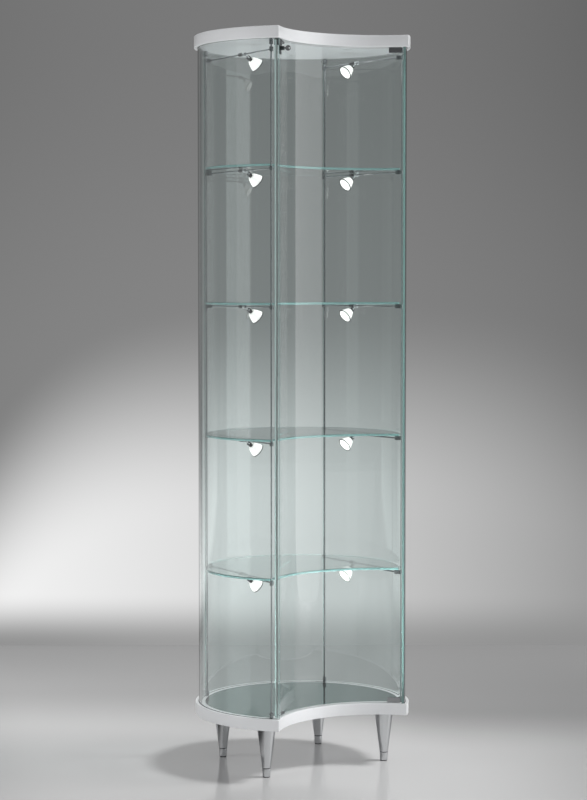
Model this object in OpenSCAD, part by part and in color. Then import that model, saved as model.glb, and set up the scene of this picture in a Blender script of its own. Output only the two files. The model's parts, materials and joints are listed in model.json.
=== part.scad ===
// Free-standing glass display case with a kidney-shaped plan.
// Three fixed glass panes and one hollow-curved glass door stand between two lacquered boards.
// Four steel rods carry glass shelves and short bars with small reflector lamps.
// The frame: +Z is up, the door faces -Y, and the origin is on the floor below the middle of the
// case's outline. The plan is drawn about the case axis, where the round boards have their centre.

/* [Boards] */
// Radius of the round outline of both boards
case_r = 280; // [276:1:290]
// Radius of the hollow front of both boards
notch_r = 263; // [258:1:268]
// Distance from the case axis forward to the centre of the hollow front
notch_offset = 374.4; // [370:0.2:380]
// Thickness of each board
board_t = 30; // [28:1:40]
// Width of the chamfer along the edges of the boards
edge_chamfer = 1.2; // [0.8:0.1:2]

/* [Heights] */
// Height of the feet, from the floor to the base board
foot_h = 132; // [110:1:160]
// Clear height between the boards
clear_h = 1698; // [1650:1:1800]
// Heights of the shelves' middles above the base board
shelf_heights = [349, 699, 1041, 1387]; // [300:1:1450]
// Height of the top lamp bars below the top board
top_bar_drop = 25; // [20:1:60]

/* [Glass] */
// Thickness of the fixed panes and of the door
glass_t = 6; // [5:0.5:6]
// Width of board left outside the glass
glass_rim = 9; // [8:0.5:11]
// Depth that the fixed panes stand in each board
pane_seat = 8; // [6:0.5:9]
// Wall of the rubber channel round the panes
gasket_wall = 1; // [0.8:0.1:1.5]
// Gap between neighbouring panes
pane_gap = 1; // [0.5:0.1:2]
// Thickness of the shelves
shelf_t = 6; // [5:0.5:8]
// Gap from the glass to the edge of the shelves and of the base mirror
shelf_gap = 11.5; // [11:0.5:16]
// Thickness of the base mirror
mirror_t = 4; // [3:0.5:5]

/* [Door] */
// Gap above and below the door
door_gap = 3; // [2.5:0.1:4]
// Gap from each upright edge of the door to the pane beside it
door_side_gap = 3.3; // [3:0.1:4]
// Distance from the door's edge to its pivot
pivot_inset = 6; // [5.5:0.1:6.5]
// Diameter of the pivot pins
pivot_d = 6; // [5:0.5:6]
// Length of the pivot pins in their bushes
pivot_len = 9; // [7:0.5:11]
// Wall of the pivot bushes
bush_wall = 2; // [1.5:0.1:2.5]
// Width of the hinge plates along the door
plate_w = 34; // [28:1:50]
// Height of the hinge plates
plate_h = 13; // [11:0.5:20]
// Outer cheek of the hinge plates
plate_outer = 3; // [2:0.1:4]
// Inner cheek of the hinge plates
plate_inner = 1.8; // [1.5:0.1:2]
// Metal over the glass edge in the hinge plates and the lock
edge_cap = 2; // [1.5:0.1:2.2]
// Width of the rubber door stops
stop_w = 14; // [8:1:20]
// Thickness of the rubber door stops
stop_t = 5; // [3:0.5:7]
// How far the door stops reach over the door
stop_reach = 5; // [3:0.5:8]
// Distance along the door from its upright edges to the middle of the door stops
stop_inset = 54.4; // [46:0.2:78]

/* [Lock] */
// Distance along the door from its free edge to the middle of the lock
lock_inset = 16; // [14:0.2:25]
// Width of the lock case along the door
lock_w = 24; // [22:1:26]
// Height of the lock case on the glass
lock_h = 13; // [12:0.5:14]
// Outer cheek of the lock case
lock_outer = 5; // [5:0.1:6]
// Inner cheek of the lock case
lock_inner = 2; // [1.5:0.1:2.5]
// Height of the key plate, from the top of the glass down
key_plate_h = 35; // [33:0.5:40]
// Width of the key plate
key_plate_w = 14; // [14:0.5:16]
// Thickness of the key plate
key_plate_t = 1.6; // [1.4:0.1:1.6]
// Distance from the top of the glass down to the key
key_drop = 20; // [19.5:0.1:22]
// Diameter of the lock barrel
barrel_d = 10.4; // [10:0.1:12]
// Length of the lock barrel in front of its plate
barrel_len = 10; // [8:0.5:14]
// Diameter of the plug that the key turns
plug_d = 8; // [7.6:0.1:8.4]
// Radius of the crank pin on the plug
crank_r = 3; // [2.8:0.1:3.1]
// Diameter of the crank pin
crank_d = 1.6; // [1.4:0.1:1.8]
// Diameter of the key's bow
bow_d = 14; // [10:0.5:18]
// Thickness of the key
key_t = 1.6; // [1.2:0.1:2]
// Width of the bolt
bolt_w = 6; // [5:0.5:7]
// Thickness of the bolt
bolt_t = 2.3; // [2:0.1:2.3]
// Distance from the glass to the bolt, which the wall of its channel partly fills
bolt_back = 0.9; // [0.8:0.1:0.9]
// Metal of the bolt under the slot for the crank pin
bolt_foot = 2; // [1.5:0.5:4]

/* [Rods] */
// Diameter of the upright rods
rod_d = 4; // [3:0.5:5]
// Distance from the glass to the middle of the rods
rod_gap = 6; // [5.5:0.1:6]
// Angle of the back rods from the back centre line
back_rod_angle = 45.9; // [42:0.1:50]
// Distance from the door glass to the middle of the front rods
front_rod_gap = 9.4; // [9:0.1:10]
// Diameter of the collars at the ends of the rods
collar_d = 10; // [9:0.5:10]
// Height of the collars at the ends of the rods
collar_h = 14; // [10:0.5:20]

/* [Lamp bars] */
// Diameter of the lamp bars
bar_d = 4; // [3:0.5:4.5]
// Height of the clamps that carry the shelves and the bars
clamp_h = 10; // [10:0.5:12]
// Diameter of the clamps round the rods
clamp_d = 9; // [8:0.5:10]
// Diameter of the clamp ends under the shelves
knob_d = 10; // [9:0.5:12]
// Width of the clamp arms
arm_w = 5; // [4:0.5:6]
// Distance from the rod to the clamp end
arm_reach = 12; // [11:0.5:14]
// Turn of the front clamp arms away from straight back
front_arm_turn = 35; // [25:1:40]

/* [Lamps] */
// Place of the right lamps along the case, from its axis
right_lamp_y = 22; // [0:1:60]
// Place of the left lamps along the case, from its axis
left_lamp_y = -18; // [-50:1:40]
// Angle of the lamps below level
lamp_drop = 36; // [34:1:60]
// Length of the ring that turns on the bar
ring_len = 12; // [8:0.5:16]
// Length of the insulating sleeve that joins the two halves of a bar
sleeve_len = 20; // [16:0.5:26]
// Outer diameter of ring and sleeve
ring_d = 9.2; // [8:0.1:9.4]
// Gap between the two halves of a bar inside the sleeve
bar_break = 3; // [2:0.5:6]
// Diameter of the lamp stem, and width of its eye
stem_d = 4; // [3:0.2:4.6]
// Distance from the bar to the knuckle pin
knuckle_reach = 14; // [13:0.5:18]
// Diameter of the stem's eye
eye_d = 7; // [6:0.5:7.5]
// Diameter of the knuckle pin
knuckle_pin_d = 2.4; // [2:0.2:3]
// Thickness of the knuckle cheeks
cheek_t = 2; // [1.5:0.1:2.5]
// Diameter of the lamp holder
holder_d = 10; // [9.6:0.2:11]
// Length of the lamp holder
holder_len = 6; // [5.5:0.5:10]
// Diameter of the lamp's neck
neck_d = 7.8; // [6:0.2:8]
// Depth that the lamp's neck sits in its holder
neck_seat = 3.5; // [3:0.1:4]
// Diameter of the lamp at its shoulder
shoulder_d = 19; // [16:0.5:21]
// Diameter of the lamp at its mouth
mouth_d = 38; // [35:0.5:42]
// Length of the lamp from shoulder to mouth
bulb_len = 22.5; // [20:0.5:26]

/* [Feet] */
// Distance from the case axis to the feet
foot_r = 215; // [205:1:220]
// Angle of the back feet from the back centre line
back_foot_angle = 44.6; // [40:0.1:50]
// Angle of the front feet from the back centre line
front_foot_angle = 122.2; // [118:0.1:126]
// Diameter of the feet at the base board
foot_top_d = 48; // [40:1:54]
// Diameter of the feet at their levelling tips
foot_low_d = 21; // [18:0.5:24]
// Diameter of the levelling tips at the floor pads
tip_low_d = 18.6; // [16:0.2:20]
// Height of the levelling tips with their pads
tip_h = 24; // [18:1:32]
// Thickness of the floor pads
pad_t = 2; // [1.5:0.1:3]
// Diameter of the spindles of the levelling tips
spindle_d = 8; // [6:0.5:10]
// Length of the spindles inside the feet
spindle_len = 30; // [20:1:40]
// Diameter of the studs that hold the feet
stud_d = 10; // [8:0.5:12]
// Length of the studs in the base board
stud_len = 18; // [14:0.5:20]

/* [Transformer] */
// Width of the transformer
trafo_w = 42; // [36:1:56]
// Length of the transformer
trafo_len = 116; // [90:1:124]
// Height of the transformer
trafo_h = 15; // [12:0.5:15.5]
// Wall of board left behind the transformer's recess
trafo_back = 12; // [8:0.5:16]
// Thickness of the cover plate
cover_t = 2; // [1.5:0.1:2.5]
// Width of the ledge that carries the cover plate
cover_ledge = 8; // [6:0.5:12]
// Width of the vent slots in the cover plate
vent_w = 4; // [3:0.5:5]
// Number of vent slots in the cover plate
vent_count = 7; // [3:1:9]
// Width of the mains inlet
inlet_w = 22; // [18:0.5:24]
// Height of the mains inlet
inlet_h = 12; // [10:0.5:13]
// Diameter of the two round sockets in the inlet
socket_d = 7; // [5:0.5:8]
// Distance between the sockets
socket_pitch = 8; // [6:0.5:10]
// Depth of the sockets
socket_depth = 8; // [5:0.5:9]

/* [Fits] */
// Radial clearance of pins and rods that turn
run_fit = 0.05; // [0.03:0.01:0.08]
// Clearance between pieces that only stand beside each other
loose_fit = 0.3; // [0.25:0.05:0.4]
// Clearance round pieces that are set in a recess
inlay_gap = 0.5; // [0.3:0.1:0.8]
// Clearance of the sliding bolt and of the plug behind it
slide_fit = 0.1; // [0.05:0.01:0.15]
// Room left beyond the end of a pin, stud or spindle in its hole
end_gap = 1; // [0.5:0.1:1.5]
// Clearance round the bolt in its slot in the top board
strike_fit = 0.8; // [0.5:0.1:1]
// Play of the crank pin in the slot of the bolt, above and below
crank_play = 0.45; // [0.35:0.05:0.6]

/* [Hidden] */
$fn = 96;
cut = 1;

// Heights of the boards
base_z = foot_h + board_t;
top_z = base_z + clear_h;
total_h = top_z + board_t;

// Outline of the boards: the corners are where the round outline meets the hollow front
corner_y = -meeting(case_r, notch_r);
axis_y = -(case_r + corner_y) / 2;

// Glass, seen from the case axis for the panes and from the centre of the hollow for the door
pane_out = case_r - glass_rim;
pane_in = pane_out - glass_t;
door_out = notch_r + glass_rim;
door_in = door_out + glass_t;
door_mid = door_out + glass_t / 2;
groove_in = pane_in - gasket_wall - 2 * run_fit;
groove_out = pane_out + gasket_wall + 2 * run_fit;
groove_depth = pane_seat + gasket_wall;
door_z0 = base_z + door_gap;
door_z1 = top_z - door_gap;
// The front edges of the panes lie a quarter turn and a half apart, as their three arcs are equal
pane_arc = 90;
front_edge_angle = 1.5 * pane_arc;
half_pane = pane_arc / 2 - pane_gap / 2 / pane_in * 180 / PI;

// Half angle of the opening for the door, where the door's middle line meets the inside of the panes
meet_y = meeting(pane_in, door_mid);
meet_angle = acos((notch_offset - meet_y) / door_mid);
door_half = meet_angle - door_side_gap / sin(2 * meet_angle) / door_mid * 180 / PI;
pivot_angle = door_half - pivot_inset / door_mid * 180 / PI;
stop_angle = door_half - stop_inset / door_mid * 180 / PI;
lock_angle = door_half - lock_inset / door_mid * 180 / PI;
plate_end_gap = 1.2;
plate_a1 = door_half - plate_end_gap / door_mid * 180 / PI;
plate_a0 = plate_a1 - plate_w / door_mid * 180 / PI;
bush_floor = 1;
bush_len = pivot_len + end_gap + bush_floor;
bush_d = pivot_d + 2 * bush_wall;

// Shelves and mirror
shelf_out = pane_in - shelf_gap;
shelf_in = door_in + shelf_gap;

// Rods, clamps and bars. A bar lies under each shelf and one more under the top board
rod_r = pane_in - rod_gap;
bar_drop = shelf_t / 2 + clamp_h / 2;
bar_heights = concat([for (h = shelf_heights) h - bar_drop], [clear_h - top_bar_drop]);
levels = len(bar_heights);

function from_back(r, angle) = [r * sin(angle), r * cos(angle)];
function front_point(r, angle) = [r * sin(angle), r * cos(angle) - notch_offset];
// Distance forward from the case axis to where a circle about it meets one about the centre of the hollow
function meeting(r, hollow) = (r * r + notch_offset * notch_offset - hollow * hollow) / (2 * notch_offset);

back_rod = from_back(rod_r, back_rod_angle);
front_rod_y = meeting(rod_r, door_in + front_rod_gap);
front_rod = [sqrt(rod_r * rod_r - front_rod_y * front_rod_y), -front_rod_y];
back_knob = from_back(rod_r - arm_reach, back_rod_angle);
front_knob = front_rod + arm_reach * [-sin(front_arm_turn), cos(front_arm_turn)];
bar_run = back_knob - front_knob;
bar_len = norm(bar_run);
bar_turn = atan2(-bar_run[0], bar_run[1]);
sleeve_shift = ring_len / 2 + loose_fit + sleeve_len / 2;
bar_end = 1;

// Lamps, along the aim from the bar: knuckle, holder, bulb
eye_clear = loose_fit;
cheek_x = stem_d / 2 + eye_clear;
holder_z = knuckle_reach + eye_d / 2 + 1;
bulb_z = holder_z + holder_len;
bulb_rim = 2;
bell_lip = 0.8;
bell_steps = 5;
lens_bulge = 1.6;

// Lock, measured from the middle of the door glass
lock_y1 = glass_t / 2 + lock_inner;
lock_y0 = -glass_t / 2 - lock_outer;
key_plate_y = lock_y0 + key_plate_t;
bolt_y = -glass_t / 2 - bolt_back - bolt_t;
plug_end_y = bolt_y - slide_fit;
bolt_travel = crank_r * sqrt(2);
bolt_top = edge_cap - loose_fit;
channel_fit = 2 * slide_fit;
bow_gap = 2;

// Feet
pad_inset = 0.5;
tip_groove_h = 1.2;
tip_groove_depth = 1;
foot_places = [
    from_back(foot_r, -front_foot_angle),
    from_back(foot_r, front_foot_angle),
    from_back(foot_r, -back_foot_angle),
    from_back(foot_r, back_foot_angle)
];

// Transformer recess in the top board, open upwards and backwards
trafo_y1 = case_r - trafo_back;
trafo_y0 = trafo_y1 - trafo_len;
recess_depth = trafo_h + inlay_gap + cover_t;
vent_side = 4;
vent_end = 10;
inlet_inset = 1;

board_white = [0.93, 0.94, 0.95];
glass_tint = [0.74, 0.88, 0.86, 0.35];
edge_teal = [0.50, 0.76, 0.72, 0.6];
steel = [0.72, 0.73, 0.74];
dark = [0.08, 0.08, 0.09];

SIDES = ["left", "right"];
FOOT_NAMES = ["front_left", "front_right", "back_left", "back_right"];
function side_sign(side) = side == "left" ? -1 : 1;

// ---------- places ----------

// From the case axis to the part's own frame
module on_axis() {
    translate([0, axis_y, 0]) children();
}

// The centre of the hollow front
module at_notch() {
    on_axis() translate([0, -notch_offset, 0]) children();
}

// On the door's curve: x runs along the door to the right, y points into the case
module on_door(angle) {
    at_notch() rotate([0, 0, -angle]) translate([0, door_mid, 0]) children();
}

// Both sides of the case, the second one mirrored
module both_sides() {
    on_axis() {
        children();
        mirror([1, 0, 0]) children();
    }
}

// At the ring of one lamp: y runs back along the bar, z points along the lamp's aim
module at_lamp(side, level, tilt = true) {
    sign = side_sign(side);
    ring_y = side == "left" ? left_lamp_y : right_lamp_y;
    share = (ring_y - front_knob[1]) / bar_run[1];
    place = front_knob + share * bar_run;
    on_axis()
        translate([sign * place[0], ring_y, base_z + bar_heights[level - 1]])
            rotate([0, 0, sign * bar_turn])
                rotate([0, tilt ? 180 + sign * (90 - lamp_drop) : 0, 0])
                    children();
}

// ---------- shapes ----------

// An arc of constant section about the current centre, between two angles from the back line
module sector(r0, r1, h, a0, a1) {
    rotate([0, 0, 90 - a1])
        rotate_extrude(angle = a1 - a0, $fn = 180)
            translate([r0, 0]) square([r1 - r0, h]);
}

// Kidney outline with the round side at one radius and the hollow side at another
module kidney(outer, hollow) {
    difference() {
        circle(r = outer, $fn = 180);
        translate([0, -notch_offset]) circle(r = hollow, $fn = 180);
    }
}

// Half section of a round board with chamfered rims
module rim_profile() {
    r = case_r - edge_chamfer;
    polygon([
        [0, 0], [r, 0], [case_r, edge_chamfer], [case_r, board_t - edge_chamfer], [r, board_t], [0, board_t]
    ]);
}

// Half section of the cutter for the hollow front, flared to chamfer the rims
module hollow_profile() {
    r = notch_r + edge_chamfer + cut;
    polygon([
        [0, -cut], [r, -cut], [notch_r, edge_chamfer],
        [notch_r, board_t - edge_chamfer], [r, board_t + cut], [0, board_t + cut]
    ]);
}

// One board, lying on z = 0
module board_blank() {
    difference() {
        rotate_extrude($fn = 180) rim_profile();
        translate([0, -notch_offset, 0]) rotate_extrude($fn = 180) hollow_profile();
    }
}

// Groove for the three fixed panes, from z = 0 upwards
module pane_groove() {
    sector(groove_in, groove_out, groove_depth + cut, -front_edge_angle, front_edge_angle);
}

// ---------- boards ----------

module base_board() {
    color(board_white)
        on_axis() difference() {
            translate([0, 0, foot_h]) board_blank();
            translate([0, 0, base_z - groove_depth]) pane_groove();
            translate([0, 0, base_z - mirror_t])
                linear_extrude(mirror_t + cut) kidney(shelf_out + inlay_gap, shelf_in - inlay_gap);
            for (place = foot_places)
                translate([place[0], place[1], foot_h - cut])
                    cylinder(d = stud_d + 2 * run_fit, h = stud_len + end_gap + cut);
            pivot_hole(base_z - bush_len, bush_len + cut);
        }
}

module top_board() {
    color(board_white)
        difference() {
            on_axis() difference() {
                translate([0, 0, top_z]) board_blank();
                translate([0, 0, top_z - cut]) pane_groove();
                transformer_recess();
                pivot_hole(top_z - cut, bush_len + cut);
            }
            strike_slot();
        }
}

// Seat of a pivot bush, in case-axis places
module pivot_hole(z, depth) {
    pivot = front_point(door_mid, pivot_angle);
    translate([pivot[0], pivot[1], z]) cylinder(d = bush_d + 2 * run_fit, h = depth);
}

// Slot in the top board that takes the raised bolt
module strike_slot() {
    on_door(-lock_angle)
        translate([-bolt_w / 2 - strike_fit, bolt_y - strike_fit, top_z - cut])
            cube([bolt_w + 2 * strike_fit, bolt_t + 2 * strike_fit, bolt_travel + end_gap + cut]);
}

module transformer_recess() {
    w = trafo_w + 2 * inlay_gap;
    z = total_h - recess_depth;
    translate([-w / 2, trafo_y0 - inlay_gap, z])
        cube([w, trafo_len + 2 * inlay_gap, recess_depth + cut]);
    translate([-w / 2 - cover_ledge, trafo_y0 - inlay_gap - cover_ledge, total_h - cover_t])
        cube([w + 2 * cover_ledge, trafo_len + cover_ledge + 2 * inlay_gap, cover_t + cut]);
    translate([-inlet_w / 2 - inlay_gap, trafo_y1, z])
        cube([inlet_w + 2 * inlay_gap, trafo_back + cut, inlet_h + inlay_gap]);
}

module base_mirror() {
    color([0.80, 0.84, 0.86])
        on_axis()
            translate([0, 0, base_z - mirror_t])
                linear_extrude(mirror_t) kidney(shelf_out, shelf_in);
}

// ---------- fixed glass ----------

module pane(middle_angle) {
    color(glass_tint)
        on_axis()
            translate([0, 0, base_z - pane_seat])
                sector(pane_in, pane_out, clear_h + 2 * pane_seat,
                    middle_angle - half_pane, middle_angle + half_pane);
}

// Rubber channel that holds one pane, with its open side at z = groove_depth
module channel_strip(middle_angle) {
    difference() {
        sector(pane_in - gasket_wall, pane_out + gasket_wall, groove_depth,
            middle_angle - half_pane, middle_angle + half_pane);
        translate([0, 0, gasket_wall])
            sector(pane_in - run_fit, pane_out + run_fit, groove_depth,
                middle_angle - half_pane - 1, middle_angle + half_pane + 1);
    }
}

module glass_channels() {
    color(dark)
        on_axis() for (middle = [-pane_arc, 0, pane_arc]) {
            translate([0, 0, base_z - groove_depth]) channel_strip(middle);
            translate([0, 0, top_z + groove_depth]) mirror([0, 0, 1]) channel_strip(middle);
        }
}

module shelf(level) {
    color(edge_teal)
        on_axis()
            translate([0, 0, base_z + shelf_heights[level - 1] - shelf_t / 2])
                linear_extrude(shelf_t) kidney(shelf_out, shelf_in);
}

// ---------- door ----------

module door_glass() {
    color(glass_tint)
        at_notch()
            translate([0, 0, door_z0])
                sector(door_out, door_in, door_z1 - door_z0, -door_half, door_half);
}

// Plate over the upper corner of the door with its pivot pin, its top at z = edge_cap over the glass
module hinge_plate() {
    difference() {
        translate([0, 0, edge_cap - plate_h])
            sector(door_out - plate_outer, door_in + plate_inner, plate_h, plate_a0, plate_a1);
        translate([0, 0, -plate_h])
            sector(door_out - run_fit, door_in + run_fit, plate_h, plate_a0 - 1, plate_a1 + 1);
    }
    rotate([0, 0, -pivot_angle])
        translate([0, door_mid, edge_cap - 1])
            cylinder(d = pivot_d, h = 1 + door_gap - edge_cap + pivot_len);
}

module hinge_plates() {
    color([0.33, 0.34, 0.35])
        at_notch() {
            translate([0, 0, door_z1]) hinge_plate();
            translate([0, 0, door_z0]) mirror([0, 0, 1]) hinge_plate();
        }
}

// Nylon bushes in the boards. The lower one stands proud and carries the door
module hinge_bushes() {
    proud = door_gap - edge_cap - loose_fit;
    color([0.90, 0.90, 0.88])
        on_door(pivot_angle) difference() {
            union() {
                translate([0, 0, base_z - bush_len]) cylinder(d = bush_d, h = bush_len + proud);
                translate([0, 0, top_z]) cylinder(d = bush_d, h = bush_len);
            }
            translate([0, 0, base_z - bush_len + bush_floor]) pivot_bore(bush_len + proud);
            translate([0, 0, top_z - cut]) pivot_bore(bush_len - bush_floor + cut);
        }
}

module pivot_bore(depth) {
    cylinder(d = pivot_d + 2 * run_fit, h = depth);
}

// Rubber blocks on the boards that stop the door at its free edge
module door_stops() {
    half = stop_w / 2 / door_in * 180 / PI;
    height = door_gap + stop_reach;
    color(dark)
        at_notch() for (z = [base_z, top_z - height])
            translate([0, 0, z])
                sector(door_in + loose_fit, door_in + loose_fit + stop_t, height,
                    -stop_angle - half, -stop_angle + half);
}

// Clamp over the glass with the bolt channel, and the plate with the key barrel below it
module lock_case() {
    half = lock_w / 2 / door_mid * 180 / PI;
    color(dark)
        difference() {
            union() {
                at_notch() translate([0, 0, door_z1 - lock_h])
                    difference() {
                        sector(door_out - lock_outer, door_in + lock_inner, lock_h + edge_cap,
                            -lock_angle - half, -lock_angle + half);
                        translate([0, 0, -cut])
                            sector(door_out - run_fit, door_in + run_fit, lock_h + cut,
                                -lock_angle - half - 1, -lock_angle + half + 1);
                    }
                on_door(-lock_angle) translate([0, 0, door_z1]) {
                    translate([-key_plate_w / 2, lock_y0, -key_plate_h])
                        cube([key_plate_w, key_plate_t, key_plate_h + edge_cap]);
                    translate([0, key_plate_y, -key_drop])
                        rotate([90, 0, 0]) cylinder(d = barrel_d, h = key_plate_t + barrel_len);
                }
            }
            on_door(-lock_angle) translate([0, 0, door_z1]) {
                translate([-bolt_w / 2 - channel_fit, bolt_y - channel_fit, -lock_h - cut])
                    cube([bolt_w + 2 * channel_fit, bolt_t + 2 * channel_fit, lock_h + edge_cap + 2 * cut]);
                translate([0, key_plate_y + cut, -key_drop])
                    rotate([90, 0, 0])
                        cylinder(d = plug_d + 2 * run_fit, h = key_plate_t + barrel_len + 2 * cut);
            }
        }
}

// Flat bolt with an open slot near its foot that the crank pin lifts
module lock_bolt() {
    slot_h = crank_d + 2 * crank_play;
    slot_z = -key_drop - crank_r * sin(45);
    tail_z = slot_z - slot_h / 2 - bolt_foot;
    color(steel)
        on_door(-lock_angle) translate([0, 0, door_z1])
            difference() {
                translate([-bolt_w / 2, bolt_y, tail_z]) cube([bolt_w, bolt_t, bolt_top - tail_z]);
                translate([bolt_w / 2 - crank_r - crank_d, bolt_y - cut, slot_z - slot_h / 2])
                    cube([crank_r + crank_d + cut, bolt_t + 2 * cut, slot_h]);
            }
}

// Plug with its crank pin, and the key standing in the plug
module lock_key() {
    blade_h = 0.6 * plug_d;
    plug_len = plug_end_y - lock_y0 + barrel_len;
    pin_end_y = bolt_y + bolt_t - channel_fit;
    bow_y = lock_y0 - barrel_len - bow_gap - bow_d / 2;
    color([0.80, 0.80, 0.82])
        on_door(-lock_angle) translate([0, 0, door_z1 - key_drop]) {
            difference() {
                translate([0, plug_end_y, 0]) rotate([90, 0, 0]) cylinder(d = plug_d, h = plug_len);
                translate([-key_t / 2 - run_fit, lock_y0 - barrel_len - cut, -blade_h / 2 - run_fit])
                    cube([key_t + 2 * run_fit, barrel_len + cut, blade_h + 2 * run_fit]);
            }
            rotate([0, 45, 0])
                translate([crank_r, pin_end_y, 0])
                    rotate([90, 0, 0]) cylinder(d = crank_d, h = pin_end_y - plug_end_y + cut);
            translate([-key_t / 2, bow_y, -blade_h / 2])
                cube([key_t, lock_y0 - bow_y - run_fit, blade_h]);
            difference() {
                translate([-key_t / 2, bow_y, 0]) rotate([0, 90, 0]) cylinder(d = bow_d, h = key_t);
                translate([-key_t / 2 - cut, bow_y - bow_d / 4, 0])
                    rotate([0, 90, 0]) cylinder(d = bow_d / 4, h = key_t + 2 * cut);
            }
        }
}

// ---------- rods, clamps and bars ----------

module corner_rods() {
    color(steel)
        both_sides() for (rod = [back_rod, front_rod])
            translate([rod[0], rod[1], base_z]) cylinder(d = rod_d, h = clear_h);
}

module rod_collars() {
    color([0.35, 0.36, 0.37])
        both_sides() for (rod = [back_rod, front_rod], z = [base_z, top_z - collar_h])
            translate([rod[0], rod[1], z])
                difference() {
                    cylinder(d = collar_d, h = collar_h);
                    translate([0, 0, -cut]) cylinder(d = rod_d + 2 * run_fit, h = collar_h + 2 * cut);
                }
}

// Clamp from a rod to its knob, centred on the bar's height
module bar_clamp(rod, knob) {
    arm = knob - rod;
    difference() {
        union() {
            translate([rod[0], rod[1], -clamp_h / 2]) cylinder(d = clamp_d, h = clamp_h);
            translate([knob[0], knob[1], -clamp_h / 2]) cylinder(d = knob_d, h = clamp_h);
            translate([rod[0], rod[1], -clamp_h / 2])
                rotate([0, 0, atan2(arm[1], arm[0])])
                    translate([0, -arm_w / 2, 0]) cube([arm_reach, arm_w, clamp_h]);
        }
        translate([rod[0], rod[1], -clamp_h / 2 - cut])
            cylinder(d = rod_d + 2 * run_fit, h = clamp_h + 2 * cut);
        bar_line(-bar_end, bar_len + bar_end, bar_d + 2 * run_fit);
    }
}

// Straight round piece along the bar, measured from the front knob
module bar_line(from, to, d) {
    translate([front_knob[0], front_knob[1], 0])
        rotate([0, 0, bar_turn])
            translate([0, from, 0]) rotate([-90, 0, 0]) cylinder(d = d, h = to - from);
}

module bar_clamps() {
    color([0.30, 0.31, 0.32])
        both_sides() for (h = bar_heights)
            translate([0, 0, base_z + h]) {
                bar_clamp(back_rod, back_knob);
                bar_clamp(front_rod, front_knob);
            }
}

// Distance along the bar from the front knob to the middle of a lamp's sleeve
function sleeve_place(lamp_y) = (lamp_y - front_knob[1]) / bar_run[1] * bar_len + sleeve_shift;

// Both halves of every bar on one side, drawn for the right side
module bar_halves(lamp_y) {
    middle = sleeve_place(lamp_y);
    for (h = bar_heights) translate([0, 0, base_z + h]) {
        bar_line(-bar_end, middle - bar_break / 2, bar_d);
        bar_line(middle + bar_break / 2, bar_len + bar_end, bar_d);
    }
}

module light_bars() {
    color(steel)
        on_axis() {
            bar_halves(right_lamp_y);
            mirror([1, 0, 0]) bar_halves(left_lamp_y);
        }
}

// Insulating sleeve over the break in a bar, with a web between the two halves
module bar_sleeve() {
    half = sleeve_len / 2;
    bore = half - bar_break / 2 + run_fit;
    rotate([-90, 0, 0]) difference() {
        translate([0, 0, -half]) cylinder(d = ring_d, h = sleeve_len);
        translate([0, 0, -half - cut]) cylinder(d = bar_d + 2 * run_fit, h = bore + cut);
        translate([0, 0, half - bore]) cylinder(d = bar_d + 2 * run_fit, h = bore + cut);
    }
}

module bar_sleeves() {
    color(dark)
        for (side = SIDES, k = [1:levels])
            at_lamp(side, k, false) translate([0, sleeve_shift, 0]) bar_sleeve();
}

// ---------- lamps ----------

// Ring on the bar with the stem and its eye
module lamp_arm(side, level) {
    color(steel)
        at_lamp(side, level) difference() {
            union() {
                translate([0, -ring_len / 2, 0]) rotate([-90, 0, 0]) cylinder(d = ring_d, h = ring_len);
                cylinder(d = stem_d, h = knuckle_reach);
                translate([-stem_d / 2, 0, knuckle_reach]) rotate([0, 90, 0]) cylinder(d = eye_d, h = stem_d);
            }
            translate([0, -ring_len / 2 - cut, 0])
                rotate([-90, 0, 0]) cylinder(d = bar_d + 2 * run_fit, h = ring_len + 2 * cut);
            translate([-stem_d / 2 - cut, 0, knuckle_reach])
                rotate([0, 90, 0]) cylinder(d = knuckle_pin_d + 2 * run_fit, h = stem_d + 2 * cut);
        }
}

// Socket with two cheeks and the knuckle pin
module lamp_holder(side, level) {
    width = 2 * (cheek_x + cheek_t);
    color(dark)
        at_lamp(side, level) {
            translate([-width / 2, 0, knuckle_reach])
                rotate([0, 90, 0]) cylinder(d = knuckle_pin_d, h = width);
            for (x = [-cheek_x - cheek_t, cheek_x]) {
                translate([x, 0, knuckle_reach]) rotate([0, 90, 0]) cylinder(d = eye_d, h = cheek_t);
                translate([x, -eye_d / 2, knuckle_reach]) cube([cheek_t, eye_d, holder_z - knuckle_reach]);
            }
            translate([0, 0, holder_z]) difference() {
                cylinder(d = holder_d, h = holder_len);
                translate([0, 0, holder_len - neck_seat])
                    cylinder(d = neck_d + 2 * run_fit, h = neck_seat + cut);
            }
        }
}

// Radius of the reflector at a share of its depth: a paraboloid, whose radius squared grows evenly
function bell_r(share) = sqrt(pow(shoulder_d / 2, 2) * (1 - share) + pow(mouth_d / 2 - bell_lip, 2) * share);

// Sealed reflector lamp: neck, bell, rim and bulging front glass
module lamp_bulb(side, level) {
    bell_top = bulb_len - bulb_rim;
    color([1.0, 0.99, 0.95])
        at_lamp(side, level)
            translate([0, 0, bulb_z])
                rotate_extrude($fn = 96)
                    polygon(concat(
                        [[0, -neck_seat], [neck_d / 2, -neck_seat], [neck_d / 2, 0]],
                        [for (k = [0:bell_steps]) [bell_r(k / bell_steps), k / bell_steps * bell_top]],
                        [[mouth_d / 2, bell_top], [mouth_d / 2, bulb_len], [0, bulb_len + lens_bulge]]
                    ));
}

// ---------- feet ----------

module foot() {
    difference() {
        union() {
            translate([0, 0, tip_h + loose_fit])
                cylinder(d1 = foot_low_d, d2 = foot_top_d, h = foot_h - tip_h - loose_fit);
            translate([0, 0, foot_h]) cylinder(d = stud_d, h = stud_len);
        }
        cylinder(d = spindle_d + 2 * run_fit, h = tip_h + spindle_len + end_gap);
    }
}

module feet() {
    color([0.80, 0.81, 0.82])
        on_axis() for (place = foot_places) translate([place[0], place[1], 0]) foot();
}

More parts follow.
